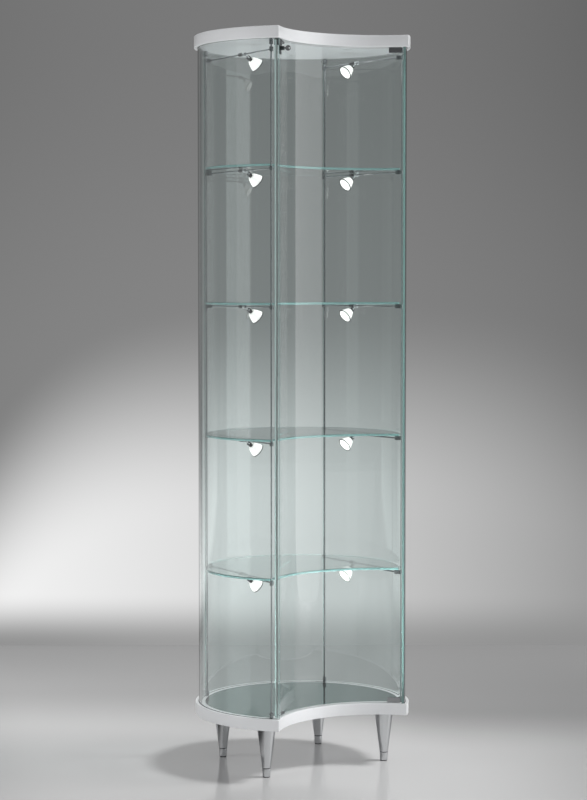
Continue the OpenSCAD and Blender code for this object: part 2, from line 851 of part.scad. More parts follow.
// Levelling tip with a narrow neck groove, its spindle and the rubber pad under it
module foot_tip(index) {
    place = foot_places[index];
    color([0.78, 0.79, 0.80])
        on_axis() translate([place[0], place[1], 0]) {
            cylinder(d = tip_low_d - 2 * pad_inset, h = pad_t - slide_fit);
            translate([0, 0, pad_t]) {
                cylinder(d1 = tip_low_d, d2 = foot_low_d, h = tip_h - pad_t - tip_groove_h);
                cylinder(d = foot_low_d - 2 * tip_groove_depth, h = tip_h - pad_t);
                cylinder(d = spindle_d, h = tip_h - pad_t + spindle_len);
            }
        }
}

// ---------- transformer ----------

// Flat transformer with its mains inlet at the back edge of the top board
module transformer() {
    z = total_h - recess_depth;
    color([0.86, 0.86, 0.84])
        on_axis() difference() {
            union() {
                translate([-trafo_w / 2, trafo_y0, z]) cube([trafo_w, trafo_len, trafo_h]);
                translate([-inlet_w / 2, trafo_y1 - cut, z])
                    cube([inlet_w, trafo_back - inlet_inset + cut, inlet_h]);
            }
            for (x = [-socket_pitch / 2, socket_pitch / 2])
                translate([x, case_r - inlet_inset - socket_depth, z + inlet_h / 2])
                    rotate([-90, 0, 0]) cylinder(d = socket_d, h = socket_depth + cut);
        }
}

module transformer_cover() {
    w = trafo_w + 2 * cover_ledge;
    y0 = trafo_y0 - cover_ledge;
    pitch = (trafo_len - 2 * vent_end) / (vent_count - 1);
    color(board_white)
        on_axis() difference() {
            translate([-w / 2, y0, total_h - cover_t])
                cube([w, trafo_len + cover_ledge, cover_t]);
            for (k = [0:vent_count - 1])
                translate([0, trafo_y0 + vent_end + k * pitch, total_h - cover_t / 2])
                    cube([trafo_w - 2 * vent_side, vent_w, cover_t + 2 * cut], center = true);
        }
}

// ---------- assembly ----------

base_board();
base_mirror();
top_board();
glass_channels();
pane(-pane_arc);  // left_pane
pane(0);  // back_pane
pane(pane_arc);  // right_pane
door_glass();
hinge_plates();
hinge_bushes();
door_stops();
lock_case();
lock_bolt();
lock_key();
corner_rods();
rod_collars();
bar_clamps();
light_bars();
bar_sleeves();
transformer();
transformer_cover();
feet();
for (k = [0:len(FOOT_NAMES) - 1])
    foot_tip(k);
for (k = [1:len(shelf_heights)])
    shelf(k);
for (side = SIDES, k = [1:levels]) {
    lamp_arm(side, k);
    lamp_holder(side, k);
    lamp_bulb(side, k);
}
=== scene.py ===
"""Looks for a free-standing glass display case with a kidney-shaped plan.

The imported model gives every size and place. This script makes the boards, glass, metalwork and lamps
as finished surfaces around it, and a plain studio with the camera.
"""
import json
import math

import bmesh
import bpy
import numpy as np
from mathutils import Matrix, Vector


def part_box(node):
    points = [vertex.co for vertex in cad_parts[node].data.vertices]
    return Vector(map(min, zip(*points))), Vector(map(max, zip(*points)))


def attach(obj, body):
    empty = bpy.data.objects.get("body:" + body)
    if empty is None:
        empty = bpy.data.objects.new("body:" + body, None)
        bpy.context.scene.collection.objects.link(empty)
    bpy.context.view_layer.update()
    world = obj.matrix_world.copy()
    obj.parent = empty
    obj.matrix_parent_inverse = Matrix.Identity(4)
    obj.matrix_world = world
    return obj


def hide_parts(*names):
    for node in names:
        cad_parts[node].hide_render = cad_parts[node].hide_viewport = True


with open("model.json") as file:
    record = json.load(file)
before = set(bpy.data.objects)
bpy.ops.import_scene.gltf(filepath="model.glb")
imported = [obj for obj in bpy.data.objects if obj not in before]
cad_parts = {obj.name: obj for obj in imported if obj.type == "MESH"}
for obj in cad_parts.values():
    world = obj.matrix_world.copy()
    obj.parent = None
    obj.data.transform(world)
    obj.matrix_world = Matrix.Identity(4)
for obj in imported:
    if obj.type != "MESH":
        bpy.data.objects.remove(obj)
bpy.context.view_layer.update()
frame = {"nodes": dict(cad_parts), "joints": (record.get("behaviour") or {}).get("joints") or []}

bl_info = {
    "name": "Glass Display Case",
    "version": (1, 0, 0),
    "blender": (4, 5, 0),
    "location": "View3D > Sidebar > Display Case",
    "description": "Makes a glass display case with shelves, lamps and a hollow-curved door",
    "category": "Add Mesh",
}

# ---------- sizes, in metres ----------

BASE_LO, BASE_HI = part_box("base_board")
TOP_LO, TOP_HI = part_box("top_board")
PANE_LO, PANE_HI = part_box("back_pane")
DOOR_LO, DOOR_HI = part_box("door_glass")
ROD_LO, ROD_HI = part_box("corner_rods")
BAR_LO, BAR_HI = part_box("light_bars")
COVER_LO, COVER_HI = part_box("transformer_cover")
UNIT_LO, UNIT_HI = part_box("transformer")
JOINTS = {joint["name"]: joint for joint in frame["joints"]}

# The plan: a round outline about the case axis with a hollow front about a centre further forward
CASE_R = (BASE_HI.x - BASE_LO.x) / 2
AXIS_Y = BASE_HI.y - CASE_R
CORNER_Y = BASE_LO.y - AXIS_Y
CORNER_X = math.sqrt(CASE_R**2 - CORNER_Y**2)
HOLLOW_R = 0.263
HOLLOW_OFFSET = -CORNER_Y + math.sqrt(HOLLOW_R**2 - CORNER_X**2)
HOLLOW_Y = AXIS_Y - HOLLOW_OFFSET

PANE_OUT = PANE_HI.y - AXIS_Y
DOOR_IN = DOOR_HI.y - HOLLOW_Y
DOOR_HALF = math.asin(DOOR_HI.x / DOOR_IN)

# Radius of the rods and bars, and of the bores that run on them
ROD_R = 0.002
BORE_R = 0.00205
# Gap round inlaid pieces, and how far a cutter reaches past a face
FIT = 0.0005
REACH = 0.001
# A lamp's knuckle: radius of its eye and cheeks, and its holder's socket beyond the knuckle's axis
EYE_R = 0.0035
SOCKET_START = 0.0045
SOCKET_END = 0.0105

LEVELS = 5
SIDES = ("left", "right")
FEET = ("front_left", "front_right", "back_left", "back_right")
UP = np.array([0.0, 0.0, 1.0])
# Edges bent further than this stay sharp, points nearer than this become one, shorter edges go
SMOOTH = math.radians(32)
MERGE = 2e-6
VANISH = 1e-7


# ---------- sizes and colours that a user may change ----------

class BoardSettings(bpy.types.PropertyGroup):
    """The two lacquered boards."""

    edge_round: bpy.props.FloatProperty(
        name="Edge rounding", description="Radius of the rounded rims", default=0.0016, unit="LENGTH")
    corner_round: bpy.props.FloatProperty(
        name="Corner rounding", description="Radius of the front corners", default=0.0035, unit="LENGTH")
    colour: bpy.props.FloatVectorProperty(
        name="Lacquer", description="Colour of the boards", default=(0.86, 0.87, 0.885), subtype="COLOR")
    peel: bpy.props.FloatProperty(
        name="Lacquer peel", description="Strength of the fine waviness in the lacquer", default=0.02)


class GlassSettings(bpy.types.PropertyGroup):
    """Panes, door and shelves."""

    thickness: bpy.props.FloatProperty(
        name="Thickness", description="Thickness of panes and door", default=0.006, unit="LENGTH")
    arris: bpy.props.FloatProperty(
        name="Arris", description="Width of the ground arris on the edges", default=0.0007, unit="LENGTH")
    tint: bpy.props.FloatVectorProperty(
        name="Tint", description="Colour seen through the glass", default=(0.948, 0.998, 0.992),
        subtype="COLOR")
    edge: bpy.props.FloatVectorProperty(
        name="Edge", description="Colour of the polished edges", default=(0.42, 0.66, 0.63), subtype="COLOR")
    shelf_edge: bpy.props.FloatVectorProperty(
        name="Shelf edge", description="Colour of the shelves' edges", default=(0.45, 0.72, 0.70),
        subtype="COLOR")


class MetalSettings(bpy.types.PropertyGroup):
    """Rods, collars, clamps, hinge plates, lock and feet."""

    bevel: bpy.props.FloatProperty(
        name="Bevel", description="Width of the broken edges", default=0.0004, unit="LENGTH")
    satin: bpy.props.FloatProperty(
        name="Satin", description="Roughness of the satin metal", default=0.11, subtype="FACTOR")
    dark: bpy.props.FloatVectorProperty(
        name="Dark nickel", description="Colour of the dark metal", default=(0.10, 0.105, 0.11),
        subtype="COLOR")


class LampSettings(bpy.types.PropertyGroup):
    """The small reflector lamps."""

    ring_length: bpy.props.FloatProperty(
        name="Ring length", description="Length of the ring on the bar", default=0.012, unit="LENGTH")
    ring_diameter: bpy.props.FloatProperty(
        name="Ring diameter", description="Diameter of ring and sleeve", default=0.0092, unit="LENGTH")
    sleeve_length: bpy.props.FloatProperty(
        name="Sleeve length", description="Length of the insulating sleeve", default=0.02, unit="LENGTH")
    mouth: bpy.props.FloatProperty(
        name="Mouth", description="Diameter of the lamp at its mouth", default=0.038, unit="LENGTH")
    shoulder: bpy.props.FloatProperty(
        name="Shoulder", description="Diameter of the lamp at its shoulder", default=0.019, unit="LENGTH")
    depth: bpy.props.FloatProperty(
        name="Depth", description="Length from shoulder to mouth", default=0.0225, unit="LENGTH")
    bell_glow: bpy.props.FloatProperty(
        name="Bell glow", description="Light that the bell lets through", default=0.55)
    lens_glow: bpy.props.FloatProperty(
        name="Lens glow", description="Light of the front glass", default=1.15)


class StudioSettings(bpy.types.PropertyGroup):
    """Wall and camera."""

    lens: bpy.props.FloatProperty(
        name="Lens", description="Focal length on a 36 mm long side", default=98.5, unit="CAMERA")
    camera_place: bpy.props.FloatVectorProperty(
        name="Camera", description="Place of the camera", default=(-3.0971, -4.8320, 1.2577), unit="LENGTH")
    azimuth: bpy.props.FloatProperty(
        name="Azimuth", description="Turn of the view from straight ahead", default=math.radians(32.65),
        unit="ROTATION")
    pitch: bpy.props.FloatProperty(
        name="Pitch", description="How far the camera looks down", default=math.radians(3.083),
        unit="ROTATION")
    wall_distance: bpy.props.FloatProperty(
        name="Wall", description="Distance from the camera to the wall", default=7.54, unit="LENGTH")


GROUPS = {
    "case_boards": BoardSettings,
    "case_glass": GlassSettings,
    "case_metal": MetalSettings,
    "case_lamps": LampSettings,
    "case_studio": StudioSettings,
}


# ---------- outlines and surfaces ----------

def arc(radius, start, end, count, centre=(0.0, 0.0)):
    """Points of a circle in plan: centre + radius (sin a, cos a), a running from start to end."""
    a = np.linspace(start, end, count)
    return np.stack([centre[0] + radius * np.sin(a), centre[1] + radius * np.cos(a)], axis=1)


def rectangle(x0, y0, x1, y1):
    """The four corners between two opposite ones."""
    return np.array([(x0, y0), (x1, y0), (x1, y1), (x0, y1)])


def kidney(inset, corner):
    """Outline of the kidney plan, moved inwards by inset.

    The round side is a circle of radius R - inset about the case axis, and the hollow side one of
    radius H + inset about the centre of the hollow. Each corner is a circle of radius f that touches
    both: its centre lies R - inset - f from the axis and H + inset + f from the hollow's centre.
    """
    round_count, hollow_count, corner_count = 144, 72, 9
    outer, hollow = CASE_R - inset, HOLLOW_R + inset
    reach = outer - corner
    y = -(reach**2 + HOLLOW_OFFSET**2 - (hollow + corner) ** 2) / (2 * HOLLOW_OFFSET)
    x = math.sqrt(reach**2 - y**2)
    round_end = math.atan2(x, y)
    hollow_end = math.atan2(x, y + HOLLOW_OFFSET)
    corner_end = hollow_end + math.pi
    outline = np.concatenate([
        arc(outer, -round_end, round_end, round_count),
        arc(corner, round_end, corner_end, corner_count, (x, y))[1:],
        arc(hollow, hollow_end, -hollow_end, hollow_count, (0.0, -HOLLOW_OFFSET))[1:],
        arc(corner, -corner_end, -round_end, corner_count, (-x, y))[1:-1],
    ])
    outline[:, 1] += AXIS_Y
    return outline


def stacked(outlines, heights):
    """Plan outlines, each lifted to its height, as one grid."""
    return np.stack([np.insert(outline, 2, z, axis=1) for outline, z in zip(outlines, heights)])


def softened(profile, radius):
    """A polyline with each inner corner P replaced by the parabola (1-t)^2 A + 2t(1-t) P + t^2 B.

    A and B lie on the two sides that meet in P, at the given radius from it or at 0.45 of the side.
    """
    steps, most = 4, 0.45
    p = np.asarray(profile, float)
    before, corner, after = p[:-2], p[1:-1], p[2:]
    back, ahead = before - corner, after - corner
    back_len = np.linalg.norm(back, axis=1, keepdims=True)
    ahead_len = np.linalg.norm(ahead, axis=1, keepdims=True)
    a = corner + back / back_len * np.minimum(radius, most * back_len)
    b = corner + ahead / ahead_len * np.minimum(radius, most * ahead_len)
    t = np.linspace(0, 1, steps + 1)[None, :, None]
    curve = (1 - t) ** 2 * a[:, None] + 2 * t * (1 - t) * corner[:, None] + t**2 * b[:, None]
    return np.concatenate([p[:1], curve.reshape(-1, p.shape[1]), p[-1:]])


def lathed(profile, centre, axis=UP, count=48):
    """Surface of revolution: centre + r_j (cos a_i ex + sin a_i ey) + h_j ez for a profile of (r, h).

    ez is the axis, ex the direction square to it that lies nearest to X, and ey square to both.
    """
    ez = np.asarray(axis, float) / np.linalg.norm(axis)
    ex = np.array([1.0, 0.0, 0.0]) - ez * ez[0]
    ex = ex / np.linalg.norm(ex)
    p = np.asarray(profile, float)
    a = np.linspace(0, 2 * math.pi, count, endpoint=False)
    ring = np.cos(a)[:, None] * ex + np.sin(a)[:, None] * np.cross(ez, ex)
    return np.asarray(centre, float) + ring[:, None, :] * p[None, :, 0, None] + p[None, :, 1, None] * ez


# ---------- meshes and objects ----------

class Shape:
    """Collects grids and caps, then merges them to one mesh whose faces point outwards."""

    def __init__(self, name):
        self.name = name
        self.points = []
        self.faces = []
        self.slots = []
        self.total = 0

    def grid(self, points, wrap_u=False, wrap_v=False, slot=0):
        """Quads over a grid of points: u is the first index, v the second, either may close on itself."""
        nu, nv = points.shape[:2]
        u = np.arange(nu if wrap_u else nu - 1)[:, None]
        v = np.arange(nv if wrap_v else nv - 1)[None, :]
        u1, v1 = (u + 1) % nu, (v + 1) % nv
        quads = np.stack([u * nv + v, u1 * nv + v, u1 * nv + v1, u * nv + v1], axis=-1).reshape(-1, 4)
        self.faces += (quads + self.total).tolist()
        self.slots += [slot] * len(quads)
        self.points.append(points.reshape(-1, 3))
        self.total += nu * nv
        return self

    def turn(self, sections, centre, axis=UP, count=48):
        """Turned sections end to end, each a profile of (radius, height) with its material slot."""
        for profile, slot in sections:
            self.grid(lathed(profile, centre, axis, count), wrap_u=True, slot=slot)
        return self

    def cap(self, loop, slot=0):
        """One flat face over a closed loop of points."""
        self.faces.append(list(range(self.total, self.total + len(loop))))
        self.slots.append(slot)
        self.points.append(np.asarray(loop, float))
        self.total += len(loop)
        return self

    def caps(self, rings, slot=0):
        """Flat faces over the first and the last ring of a grid."""
        return self.cap(rings[0], slot).cap(rings[-1], slot)

    def build(self, materials=(), smooth=SMOOTH):
        """Makes the object. Edges sharper than the smooth angle stay sharp."""
        mesh = bpy.data.meshes.new(self.name)
        mesh.from_pydata(np.concatenate(self.points).tolist(), [], self.faces)
        for material in materials:
            mesh.materials.append(material)
        mesh.polygons.foreach_set("material_index", self.slots)
        work = bmesh.new()
        work.from_mesh(mesh)
        bmesh.ops.remove_doubles(work, verts=work.verts, dist=MERGE)
        bmesh.ops.dissolve_degenerate(work, edges=work.edges, dist=VANISH)
        bmesh.ops.recalc_face_normals(work, faces=work.faces)
        work.to_mesh(mesh)
        work.free()
        finish_shading(mesh, smooth)
        return linked(self.name, mesh)


def finish_shading(mesh, smooth=SMOOTH):
    """Smooth shading, with edges sharper than the angle kept."""
    mesh.shade_smooth()
    mesh.set_sharp_from_angle(angle=smooth)


def linked(name, data):
    """A new object in the scene."""
    thing = bpy.data.objects.new(name, data)
    bpy.context.scene.collection.objects.link(thing)
    return thing


def prism(name, outline, z0, z1):
    """A closed upright solid: a plan outline carried straight up between two heights."""
    rings = stacked([outline, outline], (z0, z1))
    return Shape(name).grid(rings, wrap_v=True).caps(rings).build()


def rod_profile(radius, low, high):
    """Closed section of a plain round rod."""
    return [(0, low), (radius, low), (radius, high), (0, high)]


def cylinder(name, place_at, radius, z0, z1):
    """A closed upright cylinder about a place in plan."""
    return Shape(name).turn([(rod_profile(radius, z0, z1), 0)], (*place_at, 0)).build()


def tube_profile(inner, outer, low, high):
    """Closed section of a tube wall."""
    middle = (inner, (low + high) / 2)
    return [middle, (inner, low), (outer, low), (outer, high), (inner, high), middle]


def turned(name, profile, centre, axis, material, soften=0.0004, count=40):
    """A turned piece from a profile of (radius, height) points, its corners softened."""
    return Shape(name).turn([(softened(profile, soften), 0)], centre, axis, count).build([material])


def joined(name, things):
    """One object from several that share their materials."""
    work = bmesh.new()
    for thing in things:
        work.from_mesh(thing.data)
    mesh = bpy.data.meshes.new(name)
    work.to_mesh(mesh)
    work.free()
    for material in things[0].data.materials:
        mesh.materials.append(material)
    for thing in things:
        bpy.data.objects.remove(thing)
    finish_shading(mesh)
    return linked(name, mesh)


def dressed(node, material, bevel):
    """A merged copy of a CAD node's mesh with its flat faces joined and its edges broken."""
    mesh = frame["nodes"][node].data.copy()
    mesh.materials.clear()
    mesh.materials.append(material)
    work = bmesh.new()
    work.from_mesh(mesh)
    bmesh.ops.remove_doubles(work, verts=work.verts, dist=MERGE)
    bmesh.ops.dissolve_limit(
        work, angle_limit=math.radians(0.5), verts=work.verts, edges=work.edges, delimit={"NORMAL"})
    bmesh.ops.recalc_face_normals(work, faces=work.faces)
    work.to_mesh(mesh)
    work.free()
    if mesh.has_custom_normals:
        mesh.attributes.remove(mesh.attributes["custom_normal"])
    finish_shading(mesh)
    thing = linked(node + "_finished", mesh)
    broken = thing.modifiers.new("broken_edges", "BEVEL")
    broken.width = bevel
    broken.segments = 2
    broken.limit_method = "ANGLE"
    broken.angle_limit = math.radians(35)
    broken.harden_normals = True
    broken.use_clamp_overlap = True
    return thing


def carve(thing, cutters):
    """Cuts closed solids out of a piece and drops the cutters."""
    for cutter in cutters:
        cut = thing.modifiers.new("cut", "BOOLEAN")
        cut.object = cutter
        cut.operation = "DIFFERENCE"
        cut.solver = "EXACT"
    bpy.context.view_layer.update()
    graph = bpy.context.evaluated_depsgraph_get()
    mesh = bpy.data.meshes.new_from_object(thing.evaluated_get(graph))
    thing.modifiers.clear()
    thing.data = mesh
    finish_shading(mesh)
    for cutter in cutters:
        bpy.data.objects.remove(cutter)


def place(thing, body, node):
    """Lets a piece ride on its body, and hides the CAD node that it stands for."""
    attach(thing, body)
    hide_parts(node)


def keep(nodes, material):
    """Gives a finished material to CAD nodes whose shape stays."""
    for node in nodes:
        mesh = frame["nodes"][node].data
        mesh.materials.clear()
        mesh.materials.append(material)


# ---------- shader nodes ----------

def add_node(tree, kind, inputs=(), **settings):
    """A shader node with its settings. Each input is linked to a socket or term, or given a value."""
    node = tree.nodes.new("ShaderNode" + kind)
    for key, value in settings.items():
        setattr(node, key, value)
    for key, value in dict(inputs).items():
        value = getattr(value, "socket", value)
        if isinstance(value, bpy.types.NodeSocket):
            tree.links.new(value, node.inputs[key])
        else:
            node.inputs[key].default_value = value
    return node


class Term:
    """A number that shader nodes work out, so that a pattern can be written as a formula."""

    def __init__(self, tree, socket):
        self.tree = tree
        self.socket = socket

    def math(self, operation, a, b):
        """The result of one math node."""
        node = add_node(self.tree, "Math", {0: a, 1: b}, operation=operation)
        return Term(self.tree, node.outputs["Value"])

    def __add__(self, other):
        return self.math("ADD", self, other)

    def __sub__(self, other):
        return self.math("SUBTRACT", self, other)

    def __rsub__(self, other):
        return self.math("SUBTRACT", other, self)

    def __mul__(self, other):
        return self.math("MULTIPLY", self, other)

    def above(self, limit):
        """1 where the term is above the limit, and 0 elsewhere."""
        return self.math("GREATER_THAN", self, limit)

    def at_least(self, other):
        """The greater of the two."""
        return self.math("MAXIMUM", self, other)

    def at_most(self, other):
        """The lesser of the two."""
        return self.math("MINIMUM", self, other)

    def ramp(self, low, high, start, end):
        """Smooth step between low and high, running from start to end."""
        inputs = {"Value": self, "From Min": low, "From Max": high, "To Min": start, "To Max": end}
        node = add_node(self.tree, "MapRange", inputs, interpolation_type="SMOOTHSTEP")
        return Term(self.tree, node.outputs["Result"])


def along(tree, direction):
    """Distance of a point of the surface along one direction."""
    coords = add_node(tree, "TexCoord").outputs["Object"]
    node = add_node(tree, "VectorMath", {0: coords, 1: direction}, operation="DOT_PRODUCT")
    return Term(tree, node.outputs["Value"])


def colour_mix(tree, factor, first, second):
    """First colour where the factor is 0, second where it is 1."""
    inputs = {"Factor": factor, "A": (*first, 1.0), "B": (*second, 1.0)}
    return add_node(tree, "Mix", inputs, data_type="RGBA").outputs["Result"]


def show_mix(tree, factor, first, second):
    """Shows the first shader where the factor is 0 and the second where it is 1."""
    mix = add_node(tree, "MixShader", {"Fac": factor, 1: first.outputs[0], 2: second.outputs[0]})
    tree.links.new(mix.outputs["Shader"], tree.nodes["Material Output"].inputs["Surface"])


def made_once(maker):
    """Keeps the material or node group that a maker returns first."""
    kept = {}

    def get():
        if "it" not in kept:
            kept["it"] = maker()
        return kept["it"]

    return get


def finish_group(name, own_input, kind, default):
    """An empty node group. Its own input and two bounds go in, a roughness and a height come out."""
    tree = bpy.data.node_groups.new(name, "ShaderNodeTree")
    number = "NodeSocketFloat"
    for label, socket_type, value in (
            (own_input, kind, default), ("Rough Low", number, 0.2), ("Rough High", number, 0.3)):
        socket = tree.interface.new_socket(name=label, in_out="INPUT", socket_type=socket_type)
        socket.default_value = value
    for label in ("Roughness", "Height"):
        tree.interface.new_socket(name=label, in_out="OUTPUT", socket_type=number)
    return tree, tree.nodes.new("NodeGroupInput").outputs, tree.nodes.new("NodeGroupOutput").inputs


def put_out(tree, given, result, height, wander):
    """Links a group's height, and its roughness, which wanders between the two given bounds."""
    inputs = {"Value": wander, "To Min": given["Rough Low"], "To Max": given["Rough High"]}
    tree.links.new(add_node(tree, "MapRange", inputs).outputs["Result"], result["Roughness"])
    tree.links.new(height, result["Height"])
    return tree


@made_once
def surface_grain():
    """Fine grain for the height, and broad patches that the roughness follows."""
    tree, given, result = finish_group("Surface Grain", "Scale", "NodeSocketFloat", 300.0)
    coords = add_node(tree, "TexCoord").outputs["Object"]
    fine = add_node(tree, "TexNoise", {"Vector": coords, "Scale": given["Scale"], "Detail": 3.0})
    broad = add_node(tree, "TexNoise", {"Vector": coords, "Scale": 14.0})
    return put_out(tree, given, result, fine.outputs["Fac"], broad.outputs["Fac"])


@made_once
def drawn_lines():
    """Fine lines along one direction, as drawing and brushing leave them on metal."""
    stretch = (900.0, 900.0, 12.0)
    tree, given, result = finish_group("Drawn Lines", "Stretch", "NodeSocketVector", stretch)
    coords = add_node(tree, "TexCoord").outputs["Object"]
    scaled = add_node(tree, "VectorMath", {0: coords, 1: given["Stretch"]}, operation="MULTIPLY")
    lines = add_node(tree, "TexNoise", {"Vector": scaled.outputs["Vector"], "Scale": 1.0, "Detail": 2.0})
    return put_out(tree, given, result, lines.outputs["Fac"], lines.outputs["Fac"])


# ---------- materials ----------

def new_material(name, colour, **sockets):
    """A material with one Principled shader and plain values on its sockets."""
    material = bpy.data.materials.new(name)
    material.use_nodes = True
    inputs = material.node_tree.nodes["Principled BSDF"].inputs
    inputs["Base Color"].default_value = (*colour, 1.0)
    for socket, value in sockets.items():
        inputs[socket.replace("_", " ")].default_value = value
    return material


def finished(name, colour, group, value, rough, bump=0.0, tones=None, **sockets):
    """A material that wears a shared node group: its roughness, and its height through a bump.

    value is the group's own input, a scale or a stretch, and rough holds the bounds of the roughness.
    With two tones, the base colour wanders between them with the height.
    """
    grain_height = 0.0002
    material = new_material(name, colour, Roughness=sum(rough) / 2, **sockets)
    tree = material.node_tree
    shader = tree.nodes["Principled BSDF"].inputs
    inputs = {0: value, "Rough Low": rough[0], "Rough High": rough[1]}
    node = add_node(tree, "Group", inputs, node_tree=group())
    height = node.outputs["Height"]
    tree.links.new(node.outputs["Roughness"], shader["Roughness"])
    if bump:
        raised = add_node(tree, "Bump", {"Strength": bump, "Distance": grain_height, "Height": height})
        tree.links.new(raised.outputs["Normal"], shader["Normal"])
    if tones:
        tree.links.new(colour_mix(tree, height, *tones), shader["Base Color"])
    return material


def shade(colour, factor):
    """A colour made darker or lighter."""
    return tuple(min(1.0, c * factor) for c in colour)


@made_once
def white_lacquer():
    """Satin lacquer with a fine peel."""
    settings = bpy.context.scene.case_boards
    tones = (shade(settings.colour, 0.985), shade(settings.colour, 1.01))
    return finished("white_lacquer", settings.colour, surface_grain, 260.0, (0.24, 0.36),
                    settings.peel, tones, Coat_Weight=0.35, Coat_Roughness=0.08)


@made_once
def mirror_silver():
    """Grey silvered glass, darker where it is seen at a low angle."""
    return finished("mirror_silver", (0.50, 0.54, 0.53), surface_grain, 60.0, (0.008, 0.03),
                    Metallic=1.0, Specular_Tint=(0.55, 0.58, 0.58, 1.0))


def plain_glass(name):
    """Clear glass. Shadow and diffuse rays pass it as if it were thin, so that light gets inside."""
    tint = bpy.context.scene.case_glass.tint
    material = new_material(name, tint, Roughness=0.0, Transmission_Weight=1.0, IOR=1.5)
    tree = material.node_tree
    path = add_node(tree, "LightPath").outputs
    passing = Term(tree, path["Is Shadow Ray"]).at_least(path["Is Diffuse Ray"])
    clear = add_node(tree, "BsdfTransparent", {"Color": (0.985, 0.99, 0.99, 1.0)})
    show_mix(tree, passing, tree.nodes["Principled BSDF"], clear)
    return material


@made_once
def clear_glass():
    """Glass of the shelves."""
    return plain_glass("clear_glass")


@made_once
def bent_glass():
    """Clear glass with painted shade along its outlines, where the line of sight runs along the pane."""
    material = plain_glass("bent_glass")
    tree = material.node_tree
    # Painted shade: the glass tint turns near black where the surface is seen edge-on, so the outlines look
    # dark.
    start, full, dark = 0.80, 0.86, (0.02, 0.03, 0.03)
    outline = Term(tree, add_node(tree, "LayerWeight").outputs["Facing"]).ramp(start, full, 0.0, 1.0)
    tint = colour_mix(tree, outline, bpy.context.scene.case_glass.tint, dark)
    tree.links.new(tint, tree.nodes["Principled BSDF"].inputs["Base Color"])
    return material


def edge_glass(name, colour, roughness):
    """Polished glass edge: a clear coat over the deep green that the length of the glass gives."""
    tones = (shade(colour, 0.85), shade(colour, 1.15))
    return finished(name, colour, drawn_lines, (120.0, 120.0, 6.0), (roughness, roughness + 0.12),
                    0.02, tones, Transmission_Weight=0.6, IOR=1.5, Coat_Weight=0.4, Coat_Roughness=0.03)


@made_once
def pane_edge():
    """Edges of the fixed panes."""
    return edge_glass("pane_edge", bpy.context.scene.case_glass.edge, 0.12)


@made_once
def door_edge():
    """The door's last upright edge, painted pale as a highlight where it catches the light."""
    # Painted highlight: this edge gets a paler colour than the other glass edges.
    return edge_glass("door_edge", (0.80, 0.87, 0.86), 0.04)


@made_once
def shelf_edge():
    """Edges of the shelves."""
    return edge_glass("shelf_edge", bpy.context.scene.case_glass.shelf_edge, 0.10)


@made_once
def black_rubber():
    """Soft matt rubber of channels, stops and pads."""
    tones = ((0.015, 0.015, 0.017), (0.035, 0.035, 0.037))
    return finished("black_rubber", (0.022, 0.022, 0.024), surface_grain, 900.0, (0.6, 0.8), 0.15, tones)


@made_once
def dark_nickel():
    """Dark satin nickel of the lock case and the lamps' rims."""
    colour = bpy.context.scene.case_metal.dark
    tones = (shade(colour, 0.8), shade(colour, 1.3))
    return finished("dark_nickel", colour, surface_grain, 700.0, (0.28, 0.42), 0.12, tones, Metallic=1.0)


@made_once
def bright_nickel():
    """Grey nickel of collars, clamps and hinge plates."""
    return finished("bright_nickel", (0.42, 0.43, 0.44), surface_grain, 600.0, (0.12, 0.24), 0.05,
                    Metallic=1.0)


@made_once
def drawn_steel():
    """Bright steel of rods and bars, drawn lengthwise."""
    return finished("drawn_steel", (0.50, 0.51, 0.52), drawn_lines, (1400.0, 1400.0, 10.0), (0.06, 0.14),
                    Metallic=1.0)


@made_once
def chrome():
    """Polished chrome of the lamps' arms and the key."""
    return finished("chrome", (0.78, 0.79, 0.80), surface_grain, 200.0, (0.03, 0.10), Metallic=1.0)


@made_once
def satin_chrome():
    """Brushed chrome of the feet, with painted shade along the outlines."""
    satin, spread = bpy.context.scene.case_metal.satin, 0.04
    # The dark Specular Tint paints shade along the outlines, where the feet are seen at a low angle.
    return finished("satin_chrome", (0.70, 0.71, 0.72), drawn_lines, (20.0, 20.0, 900.0),
                    (satin - spread, satin + spread), Metallic=1.0, Specular_Tint=(0.22, 0.23, 0.25, 1.0))


@made_once
def black_plastic():
    """Glossy moulded plastic of sleeves and lamp holders."""
    tones = ((0.02, 0.02, 0.022), (0.055, 0.055, 0.057))
    return finished("black_plastic", (0.03, 0.03, 0.032), surface_grain, 1200.0, (0.2, 0.32), 0.2, tones,
                    Coat_Weight=0.6, Coat_Roughness=0.05)


@made_once
def white_nylon():
    """Nylon of the pivot bushes."""
    return finished("white_nylon", (0.80, 0.80, 0.77), surface_grain, 500.0, (0.4, 0.5), 0.05,
                    Subsurface_Weight=0.1)


@made_once
def grey_plastic():
    """Moulded plastic of the transformer."""
    return finished("grey_plastic", (0.62, 0.62, 0.60), surface_grain, 900.0, (0.42, 0.58), 0.15)


def glowing(name, colour, strength, roughness):
    """Lit glass: a plain glow over a glossy white."""
    return finished(name, colour, surface_grain, 400.0, (roughness, roughness + 0.1), 0.05, Coat_Weight=0.5,
                    Coat_Roughness=0.05, Emission_Color=(*colour, 1.0), Emission_Strength=strength)


@made_once
def lamp_bell():
    """Coated bell of a lamp, which lets some light through."""
    return glowing("lamp_bell", (1.0, 0.99, 0.96), bpy.context.scene.case_lamps.bell_glow, 0.2)


@made_once
def lamp_lens():
    """Front glass of a lamp."""
    return glowing("lamp_lens", (1.0, 0.99, 0.95), bpy.context.scene.case_lamps.lens_glow, 0.1)


# ---------- boards ----------

